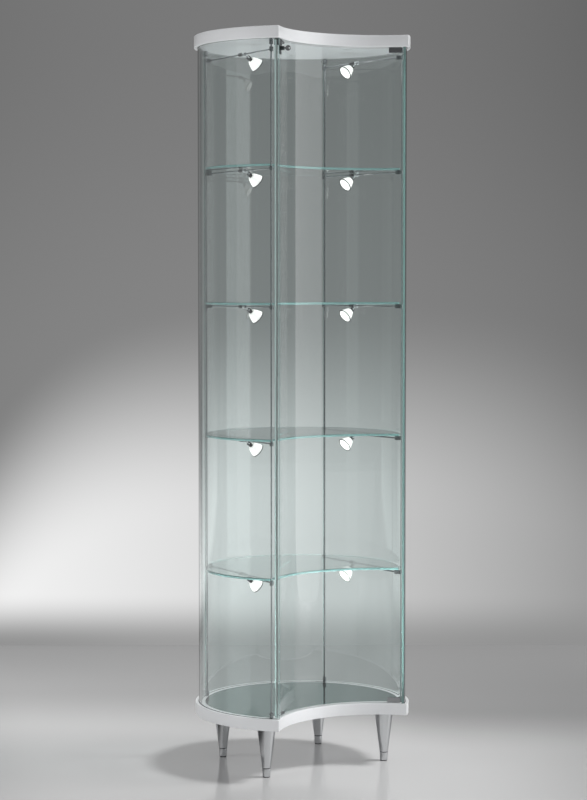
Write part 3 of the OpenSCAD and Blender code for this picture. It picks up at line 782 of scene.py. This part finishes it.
def board_shape(name, z0, z1):
    """A board: its rim section carried round the kidney outline, closed by a flat face above and below.

    The rim is a quarter circle of radius r at each edge: inset r (1 - cos t), height r (1 - sin t).
    """
    settings = bpy.context.scene.case_boards
    r = settings.edge_round
    flat = 0.0006
    t = np.linspace(0, math.pi / 2, 7)
    inset = np.concatenate([[r + flat], r * (1 - np.sin(t)), r * (1 - np.cos(t)), [r + flat]])
    height = np.concatenate([[z0], z0 + r * (1 - np.cos(t)), z1 - r * (1 - np.sin(t)), [z1]])
    rings = stacked([kidney(d, settings.corner_round) for d in inset], height)
    return Shape(name).grid(rings, wrap_v=True).caps(rings).build([white_lacquer()])


def groove_outline():
    """Plan of the groove for the rubber channels: two arcs over three quarters of a turn."""
    wall, half, count = 0.0011, math.radians(135), 160
    inner = PANE_OUT - bpy.context.scene.case_glass.thickness - wall
    centre = (0.0, AXIS_Y)
    return np.concatenate([
        arc(inner, -half, half, count, centre), arc(PANE_OUT + wall, half, -half, count, centre)])


def strike_outline():
    """Plan of the slot for the raised bolt: a rectangle that lies square to the key's axis."""
    half_width, half_depth = 0.0038, 0.00195
    lo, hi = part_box("lock_bolt")
    centre = np.array([(lo.x + hi.x) / 2, (lo.y + hi.y) / 2])
    radial = np.array(JOINTS["key_turn"]["axis"][:2])
    tangent = np.array([-radial[1], radial[0]])
    corners = rectangle(-half_width, -half_depth, half_width, half_depth)
    return centre + corners[:, :1] * tangent + corners[:, 1:] * radial


class CASE_OT_boards(bpy.types.Operator):
    """Make both boards, the mirror, the rubber channels, the bushes and the door stops"""

    bl_idname = "display_case.boards"
    bl_label = "Boards"

    def execute(self, context):
        channel_depth, bush_r, strike_depth = 0.009, 0.0051, 0.0052
        inlet_half, inlet_height = 0.0115, 0.0125
        pivot = JOINTS["door_swing"]["pos_m"][:2]
        mirror_lo, mirror_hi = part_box("base_mirror")
        bush_lo, bush_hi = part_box("hinge_bushes")
        mirror_seat = kidney(BASE_HI.y - mirror_hi.y - FIT, FIT)
        base = board_shape("base_board_lacquered", BASE_LO.z, BASE_HI.z)
        carve(base, [
            prism("mirror_seat", mirror_seat, mirror_lo.z, BASE_HI.z + REACH),
            prism("base_groove", groove_outline(), BASE_HI.z - channel_depth, BASE_HI.z + REACH),
            cylinder("base_bush_hole", pivot, bush_r, bush_lo.z, BASE_HI.z + REACH),
        ])
        place(base, "case", "base_board")
        cover_floor = TOP_HI.z - (COVER_HI.z - COVER_LO.z)
        cover_seat = rectangle(COVER_LO.x - FIT, COVER_LO.y - FIT, COVER_HI.x + FIT, COVER_HI.y + FIT)
        unit_seat = rectangle(UNIT_LO.x - FIT, UNIT_LO.y - FIT, UNIT_HI.x + FIT, COVER_HI.y + FIT)
        inlet_seat = rectangle(-inlet_half, COVER_HI.y - REACH, inlet_half, TOP_HI.y + REACH)
        top = board_shape("top_board_lacquered", TOP_LO.z, TOP_HI.z)
        carve(top, [
            prism("top_groove", groove_outline(), TOP_LO.z - REACH, TOP_LO.z + channel_depth),
            cylinder("top_bush_hole", pivot, bush_r, TOP_LO.z - REACH, bush_hi.z),
            prism("cover_seat", cover_seat, cover_floor, TOP_HI.z + REACH),
            prism("transformer_seat", unit_seat, UNIT_LO.z, cover_floor + REACH),
            prism("strike_slot", strike_outline(), TOP_LO.z - REACH, TOP_LO.z + strike_depth),
            prism("inlet_seat", inlet_seat, UNIT_LO.z, UNIT_LO.z + inlet_height),
        ])
        place(top, "case", "top_board")
        keep(["base_mirror"], mirror_silver())
        keep(["glass_channels", "door_stops"], black_rubber())
        keep(["hinge_bushes"], white_nylon())
        return {"FINISHED"}


# ---------- glass ----------

def curved_pane(name, r_out, half, middle, z0, z1, centre_y, last_edge):
    """A pane bent to an arc: a closed plan outline with ground arrises, carried upwards.

    The outline runs along the inner face, round one edge, back along the outer face and round the
    other edge. Each face ends an arris short of the edge, and each arris is a quarter circle:
    an arris times 1 - sin t along the pane and 1 - cos t across it.
    """
    count, rows = 72, 9
    glass = bpy.context.scene.case_glass
    r_in = r_out - glass.thickness
    ease = glass.arris / ((r_in + r_out) / 2)
    t = np.linspace(0, math.pi / 2, 4)
    short = ease * (1 - np.sin(t))
    sunk = glass.arris * (1 - np.cos(t))
    face = np.linspace(-half + ease, half - ease, count)
    a = middle + np.concatenate([
        face, half - short, half - short[::-1], face[::-1], -half + short, -half + short[::-1]])
    r = np.concatenate([
        np.full(count, r_in), r_in + sunk, r_out - sunk[::-1],
        np.full(count, r_out), r_out - sunk, r_in + sunk[::-1]])
    outline = np.stack([r * np.sin(a), r * np.cos(a) + centre_y], axis=1)
    rings = stacked([outline] * rows, np.linspace(z0, z1, rows))
    edge = len(outline) // 2 - count + 1
    shape = Shape(name).grid(rings, wrap_v=True)
    shape.slots = ([0] * (count - 1) + [1] * edge + [0] * (count - 1) + [2] * edge) * (rows - 1)
    return shape.caps(rings, 1).build([bent_glass(), pane_edge(), last_edge], smooth=math.radians(40))


class CASE_OT_panes(bpy.types.Operator):
    """Make the three fixed panes"""

    bl_idname = "display_case.panes"
    bl_label = "Fixed panes"

    def execute(self, context):
        pane_gap = 0.001
        half = math.radians(45) - pane_gap / 2 / PANE_OUT
        for node, middle in (("left_pane", -90), ("back_pane", 0), ("right_pane", 90)):
            pane = curved_pane(node + "_glass", PANE_OUT, half, math.radians(middle),
                               PANE_LO.z, PANE_HI.z, AXIS_Y, pane_edge())
            place(pane, "case", node)
        return {"FINISHED"}


class CASE_OT_shelves(bpy.types.Operator):
    """Make the glass shelves"""

    bl_idname = "display_case.shelves"
    bl_label = "Shelves"

    def execute(self, context):
        corner = 0.003
        arris = context.scene.case_glass.arris
        for level in range(1, LEVELS):
            lo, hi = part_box(f"shelf_{level}")
            height = (lo.z, lo.z, lo.z + arris, hi.z - arris, hi.z, hi.z)
            inset = BASE_HI.y - hi.y + arris * np.array([2, 1, 0, 0, 1, 2])
            rings = stacked([kidney(d, corner) for d in inset], height)
            shape = Shape(f"shelf_{level}_glass")
            for part, slot in ((rings[:2], 0), (rings[1:5], 1), (rings[4:], 0)):
                shape.grid(part, wrap_v=True, slot=slot)
            shelf = shape.caps(rings).build([clear_glass(), shelf_edge()], smooth=math.radians(50))
            place(shelf, "case", f"shelf_{level}")
        return {"FINISHED"}


class CASE_OT_door(bpy.types.Operator):
    """Make the door glass, its hinge plates and its lock"""

    bl_idname = "display_case.door"
    bl_label = "Door"

    def execute(self, context):
        bevel = context.scene.case_metal.bevel
        door = curved_pane("door_glass_pane", DOOR_IN, DOOR_HALF, 0.0,
                           DOOR_LO.z, DOOR_HI.z, HOLLOW_Y, door_edge())
        place(door, "door", "door_glass")
        place(dressed("hinge_plates", bright_nickel(), bevel), "door", "hinge_plates")
        place(dressed("lock_case", dark_nickel(), bevel), "door", "lock_case")
        place(dressed("lock_bolt", drawn_steel(), bevel / 2), "bolt", "lock_bolt")
        place(dressed("lock_key", chrome(), bevel / 2), "key", "lock_key")
        return {"FINISHED"}


# ---------- rods, clamps and bars ----------

def rod_places():
    """Plan places of the four rods: all lie on one circle about the case axis."""
    front_x = ROD_HI.x - ROD_R
    front_y = ROD_LO.y + ROD_R - AXIS_Y
    back_y = ROD_HI.y - ROD_R - AXIS_Y
    back_x = math.sqrt(front_x**2 + front_y**2 - back_y**2)
    return [(s * x, y + AXIS_Y, 0) for x, y in ((front_x, front_y), (back_x, back_y)) for s in (-1, 1)]


def lamp_frame(side, level):
    """Ring centre, direction of the bar towards the back, aim of the lamp, knuckle axis and its distance."""
    tilt = JOINTS[f"tilt_{side}_{level}"]
    swivel = JOINTS[f"swivel_{side}_{level}"]
    ring = np.array(tilt["pos_m"])
    bar = np.array(tilt["axis"])
    bar = bar * np.sign(bar[1])
    reach = np.array(swivel["pos_m"]) - ring
    knuckle = np.linalg.norm(reach)
    return ring, bar / np.linalg.norm(bar), reach / knuckle, np.array(swivel["axis"]), knuckle


class CASE_OT_metalwork(bpy.types.Operator):
    """Make the rods, collars, clamps, lamp bars and sleeves"""

    bl_idname = "display_case.metalwork"
    bl_label = "Rods and bars"

    def execute(self, context):
        collar_r, collar_h = 0.005, 0.014
        rod = rod_profile(ROD_R, ROD_LO.z, ROD_HI.z)
        rods, collars = [], []
        for spot in rod_places():
            rods.append(turned("rod", rod, spot, UP, drawn_steel(), soften=0.0002))
            for z in (BASE_HI.z, TOP_LO.z - collar_h):
                wall = tube_profile(BORE_R, collar_r, z, z + collar_h)
                collars.append(turned("collar", wall, spot, UP, bright_nickel(), soften=0.0007))
        place(joined("corner_rods_drawn", rods), "case", "corner_rods")
        place(joined("rod_collars_turned", collars), "case", "rod_collars")
        place(dressed("bar_clamps", bright_nickel(), bevel=0.0005), "case", "bar_clamps")

        lamps = context.scene.case_lamps
        break_gap, ring_gap, end_gap = 0.003, 0.0003, 0.0001
        half = lamps.sleeve_length / 2
        middle = lamps.ring_length / 2 + ring_gap + half
        bars, sleeves = [], []
        for side in SIDES:
            for level in range(1, LEVELS + 1):
                ring, bar, *_ = lamp_frame(side, level)
                front = (BAR_LO.y + end_gap - ring[1]) / bar[1]
                back = (BAR_HI.y - end_gap - ring[1]) / bar[1]
                for a, b in ((front, middle - break_gap / 2), (middle + break_gap / 2, back)):
                    length = rod_profile(ROD_R, a, b)
                    bars.append(turned("bar", length, ring, bar, drawn_steel(), soften=0.0002, count=24))
                wall = tube_profile(BORE_R, lamps.ring_diameter / 2, middle - half, middle + half)
                sleeves.append(turned("sleeve", wall, ring, bar, black_plastic(), soften=0.0006, count=32))
        place(joined("light_bars_drawn", bars), "case", "light_bars")
        place(joined("bar_sleeves_moulded", sleeves), "case", "bar_sleeves")
        return {"FINISHED"}


# ---------- lamps ----------

def lamp_bulb(side, level):
    """Neck, bell, rim and front glass of one lamp, turned about its aim.

    The bell is a paraboloid: its radius squared grows evenly from the shoulder to the mouth. The section
    of the front glass is a quarter of a flat ellipse, a little proud of the rim in the middle.
    """
    lamps = bpy.context.scene.case_lamps
    ring, _, aim, _, knuckle = lamp_frame(side, level)
    start = knuckle + SOCKET_END
    top = start + lamps.depth
    neck_r, neck_len, rim_h, rim_proud = 0.0039, 0.0035, 0.002, 0.0008
    mouth = lamps.mouth / 2
    lens_r, lens_seat, lens_rise = mouth - 0.0022, 0.0006, 0.0014
    share = np.linspace(0, 1, 13)
    square = (lamps.shoulder / 2) ** 2 * (1 - share) + (mouth - rim_proud) ** 2 * share
    bell = np.stack([np.sqrt(square), start + share * (lamps.depth - rim_h)], axis=1)
    t = np.linspace(0, math.pi / 2, 9)
    lens = np.stack([lens_r * np.cos(t), top - lens_seat + lens_rise * np.sin(t)], axis=1)
    low = start - neck_len
    neck = softened([(0, low), (neck_r, low), (neck_r, start), bell[0]], 0.0006)
    rim = softened([bell[-1], (mouth, top - rim_h), (mouth, top), (lens_r, top), lens[0]], 0.0004)
    shape = Shape(f"lamp_{side}_{level}").turn([(neck, 0), (bell, 0), (rim, 1), (lens, 2)], ring, aim)
    return shape.build([lamp_bell(), dark_nickel(), lamp_lens()], smooth=math.radians(38))


def lamp_arm(side, level):
    """Chrome ring on the bar, a waisted stem and the flat eye at its end."""
    lamps = bpy.context.scene.case_lamps
    ring, bar, aim, pin, knuckle = lamp_frame(side, level)
    half, r = lamps.ring_length / 2, lamps.ring_diameter / 2
    sunk, shoulder, foot_r, waist_r, eye_half = 0.0008, 0.0012, 0.0026, 0.0018, 0.002
    end = knuckle - 0.003
    hoop = tube_profile(BORE_R, r, -half, half)
    stem = [(0, r - sunk), (foot_r, r - sunk), (waist_r, r + shoulder), (waist_r, end), (0, end)]
    eye = rod_profile(EYE_R, -eye_half, eye_half)
    return joined(f"arm_{side}_{level}", [
        turned("hoop", hoop, ring, bar, chrome(), soften=0.0007, count=48),
        turned("stem", stem, ring, aim, chrome(), soften=0.0005, count=32),
        turned("eye", eye, ring + aim * knuckle, pin, chrome(), soften=0.0005),
    ])


def lamp_holder(side, level):
    """Socket with two cheeks and the knuckle pin. A cheek is half a disc with a straight foot."""
    ring, bar, aim, pin, knuckle = lamp_frame(side, level)
    centre = ring + aim * knuckle
    cheek_in, cheek_out, overlap, pin_r, pin_proud = 0.0023, 0.0043, 0.0004, 0.0012, 0.0003
    radius, bore, bore_end = 0.005, 0.00395, SOCKET_END - 0.0035
    a = np.linspace(-math.pi / 2, math.pi / 2, 15)
    foot = SOCKET_START + overlap
    half_disc = np.stack([EYE_R * np.sin(a), -EYE_R * np.cos(a)], axis=1)
    outline = np.concatenate([half_disc, [(EYE_R, foot), (-EYE_R, foot)]])
    flat = centre + outline[:, :1] * bar + outline[:, 1:] * aim
    pieces = []
    for x0, x1 in ((-cheek_out, -cheek_in), (cheek_in, cheek_out)):
        rings = np.stack([flat + x0 * pin, flat + x1 * pin])
        pieces.append(Shape("cheek").grid(rings, wrap_v=True).caps(rings).build([black_plastic()]))
    wall = [(0, SOCKET_START), (radius, SOCKET_START), (radius, SOCKET_END), (bore, SOCKET_END),
            (bore, bore_end), (0, bore_end)]
    pieces.append(turned("socket", wall, centre, aim, black_plastic(), soften=0.0005))
    half = cheek_out + pin_proud
    bolt = rod_profile(pin_r, -half, half)
    pieces.append(turned("pin", bolt, centre, pin, black_plastic(), soften=0.0002, count=24))
    return joined(f"holder_{side}_{level}", pieces)


class CASE_OT_lamps(bpy.types.Operator):
    """Make the ten lamps with their arms and holders"""

    bl_idname = "display_case.lamps"
    bl_label = "Lamps"

    def execute(self, context):
        for side in SIDES:
            for level in range(1, LEVELS + 1):
                tag = f"{side}_{level}"
                place(lamp_arm(side, level), f"arm_{tag}", f"lamp_arm_{tag}")
                place(lamp_holder(side, level), f"head_{tag}", f"lamp_holder_{tag}")
                place(lamp_bulb(side, level), f"head_{tag}", f"lamp_bulb_{tag}")
        return {"FINISHED"}


# ---------- feet and transformer ----------

class CASE_OT_feet(bpy.types.Operator):
    """Make the four cone feet with their levelling tips and pads"""

    bl_idname = "display_case.feet"
    bl_label = "Feet"

    def execute(self, context):
        top_r, low_r, tip_r, pad_r, neck_cut = 0.024, 0.0105, 0.0093, 0.0088, 0.001
        tip_h, pad_h, groove, gap, count = 0.024, 0.002, 0.0012, 0.0003, 64
        neck_r, pad_rim = low_r - neck_cut, pad_r - 0.001
        pad = softened([(0, 0), (pad_r, 0), (pad_r, pad_h - 0.0001), (pad_rim, pad_h - 0.0001)], 0.0005)
        shoulder = tip_h - groove
        tip = softened([(pad_rim, pad_h), (tip_r, pad_h), (low_r, shoulder), (neck_r, shoulder)], 0.0004)
        # Painted shade: the tip's neck inside the groove wears dark nickel, so the groove shows as a dark
        # line.
        neck = [(neck_r, shoulder), (neck_r, tip_h), (0, tip_h)]
        sections = [(pad, 1), ([pad[-1], tip[0]], 1), (tip, 0), (neck, 2)]
        cone = [(0, tip_h + gap), (low_r, tip_h + gap), (top_r, BASE_LO.z), (0, BASE_LO.z)]
        cones = []
        for foot in FEET:
            x, y, _ = JOINTS["tip_turn_" + foot]["pos_m"]
            cones.append(turned("cone", cone, (x, y, 0), UP, satin_chrome(), soften=0.0006, count=count))
            shape = Shape("foot_tip_" + foot + "_turned").turn(sections, (x, y, 0), count=count)
            piece = shape.build([satin_chrome(), black_rubber(), dark_nickel()])
            place(piece, "levelling_tip_" + foot, "foot_tip_" + foot)
        place(joined("feet_cones", cones), "case", "feet")
        return {"FINISHED"}


class CASE_OT_power(bpy.types.Operator):
    """Make the transformer and its cover in the top board"""

    bl_idname = "display_case.power"
    bl_label = "Transformer"

    def execute(self, context):
        unit = dressed("transformer", grey_plastic(), bevel=0.0005)
        place(unit, "case", "transformer")
        cover = dressed("transformer_cover", white_lacquer(), bevel=0.0003)
        place(cover, "case", "transformer_cover")
        return {"FINISHED"}


# ---------- studio ----------

def studio_frame():
    """Camera place, level view direction and level direction to the right."""
    studio = bpy.context.scene.case_studio
    ahead = np.array([math.sin(studio.azimuth), math.cos(studio.azimuth), 0.0])
    right = np.array([ahead[1], -ahead[0], 0.0])
    return np.array(studio.camera_place), ahead, right


def aim_at(thing, direction):
    """Turns a camera or light so that it looks in a direction, with its top upwards."""
    thing.rotation_euler = Vector(direction).to_track_quat("-Z", "Y").to_euler()


def make_camera():
    """The camera, at the settings' place and angles."""
    studio = bpy.context.scene.case_studio
    eye, ahead, _ = studio_frame()
    data = bpy.data.cameras.new("camera")
    data.sensor_width = 36.0
    data.sensor_fit = "AUTO"
    data.lens = studio.lens
    data.clip_start, data.clip_end = 0.05, 60.0
    camera = linked("camera", data)
    camera.location = eye
    aim_at(camera, ahead * math.cos(studio.pitch) - UP * math.sin(studio.pitch))
    bpy.context.scene.camera = camera


def add_light(name, kind, energy, direction, spot=(0.0, 0.0, 0.0), **shape):
    """A soft light that neither the camera nor mirrors and glass show."""
    data = bpy.data.lights.new(name, kind)
    data.energy = energy
    for key, value in shape.items():
        setattr(data, key, value)
    lamp = linked(name, data)
    lamp.location = spot
    aim_at(lamp, direction)
    lamp.visible_camera = lamp.visible_glossy = lamp.visible_transmission = False


def make_lights():
    """A far key light from the right, two fills, one low side light, and one that rises from the base."""
    _, ahead, right = studio_frame()
    half_way, clear_of_mirror = 0.9, 0.02
    middle = np.array([0, AXIS_Y, half_way])
    add_light("key", "SUN", 2.1, -(right * 0.60 + UP * 0.80), angle=math.radians(14))
    for name, energy, size, offset in (
            ("fill_left", 33, 2.2, -right * 3.0 - ahead * 0.8 + UP * 0.5),
            ("fill_front", 32, 2.4, -ahead * 3.6 + right * 0.4 - UP * 0.1),
            ("side", 40, 1.6, right * 3.2 - UP * 0.4)):
        add_light(name, "AREA", energy, -offset, middle + offset, size=size)
    low = np.array([0, AXIS_Y, BASE_HI.z + clear_of_mirror])
    add_light("rise", "AREA", 8.8, UP, low, shape="RECTANGLE", size=0.4, size_y=0.3)


def glow_material(name):
    """A material that holds nothing but its output node."""
    material = bpy.data.materials.new(name)
    material.use_nodes = True
    tree = material.node_tree
    tree.nodes.remove(tree.nodes["Principled BSDF"])
    return material, tree


def wall_material():
    """Studio wall that glows: a grey ground with a wide pool of light low down, brighter to the left.

    x runs to the right and z up, in metres. A ramp runs between two distances and between two tones.
    The ground darkens upwards, and by lean x + bow x^2 sideways. The pool's upper edge sinks from its
    crest by b s + c s^2, where s is the square of the distance from its middle, and its light grows
    downwards from that edge. The foot of the wall has its own tone, near that of the floor.
    """
    material, tree = glow_material("studio_wall")
    uv = add_node(tree, "UVMap", uv_map="wall").outputs["UV"]
    parts = add_node(tree, "SeparateXYZ", {"Vector": uv}).outputs
    half_view, pool_end = 1.05, -1.5
    further = Term(tree, parts["X"]).at_least(pool_end).at_most(half_view)
    x = further.at_least(-half_view)
    z = Term(tree, parts["Y"])
    lean, bow, darkest = 0.0166, 0.0326, 0.10
    ground = (z.ramp(0.8, 2.2, 0.237, 0.189) - x * lean - x * x * bow).at_least(darkest)
    middle, crest, b, c, fall = 0.157, 1.206, 0.026, 0.187, 0.748
    s = (x - middle) * (x - middle)
    pool = (crest - s * (s * c + b) - z).ramp(0.0, fall, 0.0, 1.0)
    power, drift = 0.413, 0.254
    strength = (power - further * drift).at_least(0.0)
    light = ground + pool * strength
    foot = x.ramp(-half_view, -0.35, 0.295, 0.345) + x.ramp(0.0, 1.0, 0.0, -0.06)
    light = light + z.ramp(0.005, 0.185, 1.0, 0.0) * (foot - light)
    glow = add_node(tree, "Emission", {"Color": light})
    clear = add_node(tree, "BsdfTransparent")
    show_mix(tree, add_node(tree, "NewGeometry").outputs["Backfacing"], glow, clear)
    return material


def make_wall():
    """A flat wall square to the level view direction, its UV map in metres from the view's middle."""
    half_width, height = 6.0, 5.0
    eye, ahead, right = studio_frame()
    x = np.linspace(-half_width, half_width, 13)
    z = np.linspace(0.0, height, 6)
    foot = eye * (1, 1, 0) + ahead * bpy.context.scene.case_studio.wall_distance
    points = foot + x[:, None, None] * right + z[None, :, None] * UP
    mesh = bpy.data.meshes.new("studio_wall")
    mesh.from_pydata(points.reshape(-1, 3).tolist(), [], Shape("studio_wall").grid(points).faces)
    layer = mesh.uv_layers.new(name="wall")
    loops = np.array([loop.vertex_index for loop in mesh.loops])
    uv = np.stack(np.meshgrid(x, z, indexing="ij"), axis=-1).reshape(-1, 2)[loops]
    layer.data.foreach_set("uv", uv.ravel())
    mesh.materials.append(wall_material())
    wall = linked("studio_wall", mesh)
    wall.visible_shadow = False


def floor_material():
    """Pale glossy floor with painted light: a pool of light round the case, greyer behind it and to the
    right, lighter again beyond.

    A ramp runs between two distances in metres and between two tones.
    """
    _, ahead, right = studio_frame()
    material = new_material("studio_floor", (0.6, 0.6, 0.6), Roughness=0.10, IOR=1.25)
    tree = material.node_tree
    back, side = along(tree, ahead), along(tree, right)
    # Painted light and shade in the floor's tone: near weighs the painted pool of light round the case, pale
    # is its tone across, far the greyer tone behind.
    near = (back + side.ramp(-0.1, 0.5, 0.0, 0.30)).ramp(0.35, 0.95, 1.0, 0.0)
    pale = side.ramp(-0.3, 0.3, 0.54, 0.70) + side.ramp(0.4, 1.0, 0.0, -0.22) + side.ramp(1.0, 1.5, 0.0, 0.40)
    far = back.ramp(0.9, 1.6, 0.30, 0.35)
    tone = far + near * (pale - far)
    tree.links.new(tone.socket, tree.nodes["Principled BSDF"].inputs["Base Color"])
    return material


def face_up(thing):
    """Turns a flat piece so that its front is its upper side."""
    if thing.data.polygons[0].normal.z < 0:
        thing.data.flip_normals()


def make_floor():
    """A round floor about the case, out to 9 metres."""
    rings = [(radius, 0) for radius in (0.0, 0.6, 1.5, 3.0, 6.0, 9.0)]
    floor = Shape("studio_floor").turn([(rings, 0)], (0, 0, 0), count=96).build([floor_material()])
    face_up(floor)


def card_material(strength, fade=None):
    """Glow that only shows in reflections: a ray that has met no mirror yet passes through.

    With fade (direction, start, end, last) the glow runs to a last strength between two distances
    along the direction, and the card shows from its front only.
    """
    material, tree = glow_material("studio_card")
    met = Term(tree, add_node(tree, "LightPath").outputs["Glossy Depth"]).above(0.5)
    if fade:
        direction, start, end, last = fade
        strength = along(tree, direction).ramp(start, end, strength, last)
        met = (met - add_node(tree, "NewGeometry").outputs["Backfacing"]).at_least(0.0)
    glow = add_node(tree, "Emission", {"Strength": strength})
    show_mix(tree, met, add_node(tree, "BsdfTransparent"), glow)
    return material


def show_in_mirrors(card):
    """Hides a card from everything but reflections."""
    card.visible_camera = card.visible_diffuse = card.visible_shadow = False


def tall_card(name, azimuth, distance, half, strength):
    """Tall soft card with rounded lower corners. The curved glass shows it as upright bands."""
    low, high, corner = 0.13, 2.6, 0.30
    _, ahead, right = studio_frame()
    turn = math.radians(azimuth)
    toward = right * math.sin(turn) - ahead * math.cos(turn)
    rounded = arc(corner, math.pi, math.pi / 2, 9, (half - corner, low + corner))
    outline = np.concatenate([rounded, [(half, high), (-half, high)], rounded[::-1] * (-1, 1)])
    centre = np.array([0, AXIS_Y, 0]) + toward * distance
    loop = centre + outline[:, :1] * np.cross(toward, UP) + outline[:, 1:] * UP
    show_in_mirrors(Shape(name).cap(loop).build([card_material(strength)]))


def floor_shadow_card():
    """Painted shadow that only reflections show: a dark patch on the floor, in front and to the left. It
    turns lighter towards the right.
    """
    height, dark, light = 0.001, 0.07, 0.36
    _, ahead, right = studio_frame()
    corners = rectangle(-0.90, -0.05, -0.20, 0.85)
    loop = corners[:, :1] * right - corners[:, 1:] * ahead + height * UP
    # The dark glow paints the floor's shadow for reflections. It is lighter to the right.
    shadow_glow = card_material(dark, (right, -0.42, -0.20, light))
    card = Shape("studio_card_floor").cap(loop).build([shadow_glow])
    face_up(card)
    show_in_mirrors(card)


def make_world():
    """Even grey room: seen directly it has the tone of the wall, and its light on the case is dimmer."""
    world = bpy.data.worlds.new("studio")
    world.use_nodes = True
    tree = world.node_tree
    seen = add_node(tree, "LightPath").outputs["Is Camera Ray"]
    room_light, wall_tone = (0.13, 0.132, 0.135), (0.20, 0.20, 0.20)
    tone = colour_mix(tree, seen, room_light, wall_tone)
    tree.links.new(tone, tree.nodes["Background"].inputs["Color"])
    bpy.context.scene.world = world


class CASE_OT_studio(bpy.types.Operator):
    """Make the floor, the wall, the lights and the camera"""

    bl_idname = "display_case.studio"
    bl_label = "Studio"

    def execute(self, context):
        make_camera()
        make_floor()
        make_wall()
        tall_card("studio_card_right", azimuth=85, distance=2.1, half=0.70, strength=1.15)
        tall_card("studio_card_left", azimuth=-64, distance=2.6, half=0.42, strength=0.45)
        floor_shadow_card()
        make_lights()
        make_world()
        context.scene.view_settings.view_transform = "Standard"
        cycles = context.scene.cycles
        cycles.max_bounces = 32
        cycles.transmission_bounces = 28
        cycles.glossy_bounces = 8
        cycles.transparent_max_bounces = 48
        cycles.caustics_reflective = False
        cycles.caustics_refractive = False
        return {"FINISHED"}


# ---------- panel and registration ----------

class CASE_PT_panel(bpy.types.Panel):
    """Lists the pieces of the display case"""

    bl_idname = "CASE_PT_panel"
    bl_label = "Display Case"
    bl_space_type = "VIEW_3D"
    bl_region_type = "UI"
    bl_category = "Display Case"

    def draw(self, context):
        layout = self.layout
        for operator in OPERATORS:
            layout.operator(operator.bl_idname)
        for name in GROUPS:
            box = layout.box()
            settings = getattr(context.scene, name)
            for key in settings.__annotations__:
                box.prop(settings, key)


OPERATORS = (
    CASE_OT_studio,
    CASE_OT_boards,
    CASE_OT_panes,
    CASE_OT_shelves,
    CASE_OT_door,
    CASE_OT_metalwork,
    CASE_OT_lamps,
    CASE_OT_feet,
    CASE_OT_power,
)


def register():
    """Registers the settings, the operators and the panel."""
    for name, group in GROUPS.items():
        bpy.utils.register_class(group)
        setattr(bpy.types.Scene, name, bpy.props.PointerProperty(type=group))
    for entry in OPERATORS + (CASE_PT_panel,):
        bpy.utils.register_class(entry)


def unregister():
    """Takes them out again."""
    for entry in (CASE_PT_panel,) + OPERATORS[::-1]:
        bpy.utils.unregister_class(entry)
    for name, group in GROUPS.items():
        delattr(bpy.types.Scene, name)
        bpy.utils.unregister_class(group)


def main():
    """Makes every piece in order."""
    register()
    for operator in OPERATORS:
        getattr(bpy.ops.display_case, operator.bl_idname.split(".")[1])()


if __name__ == "__main__":
    main()
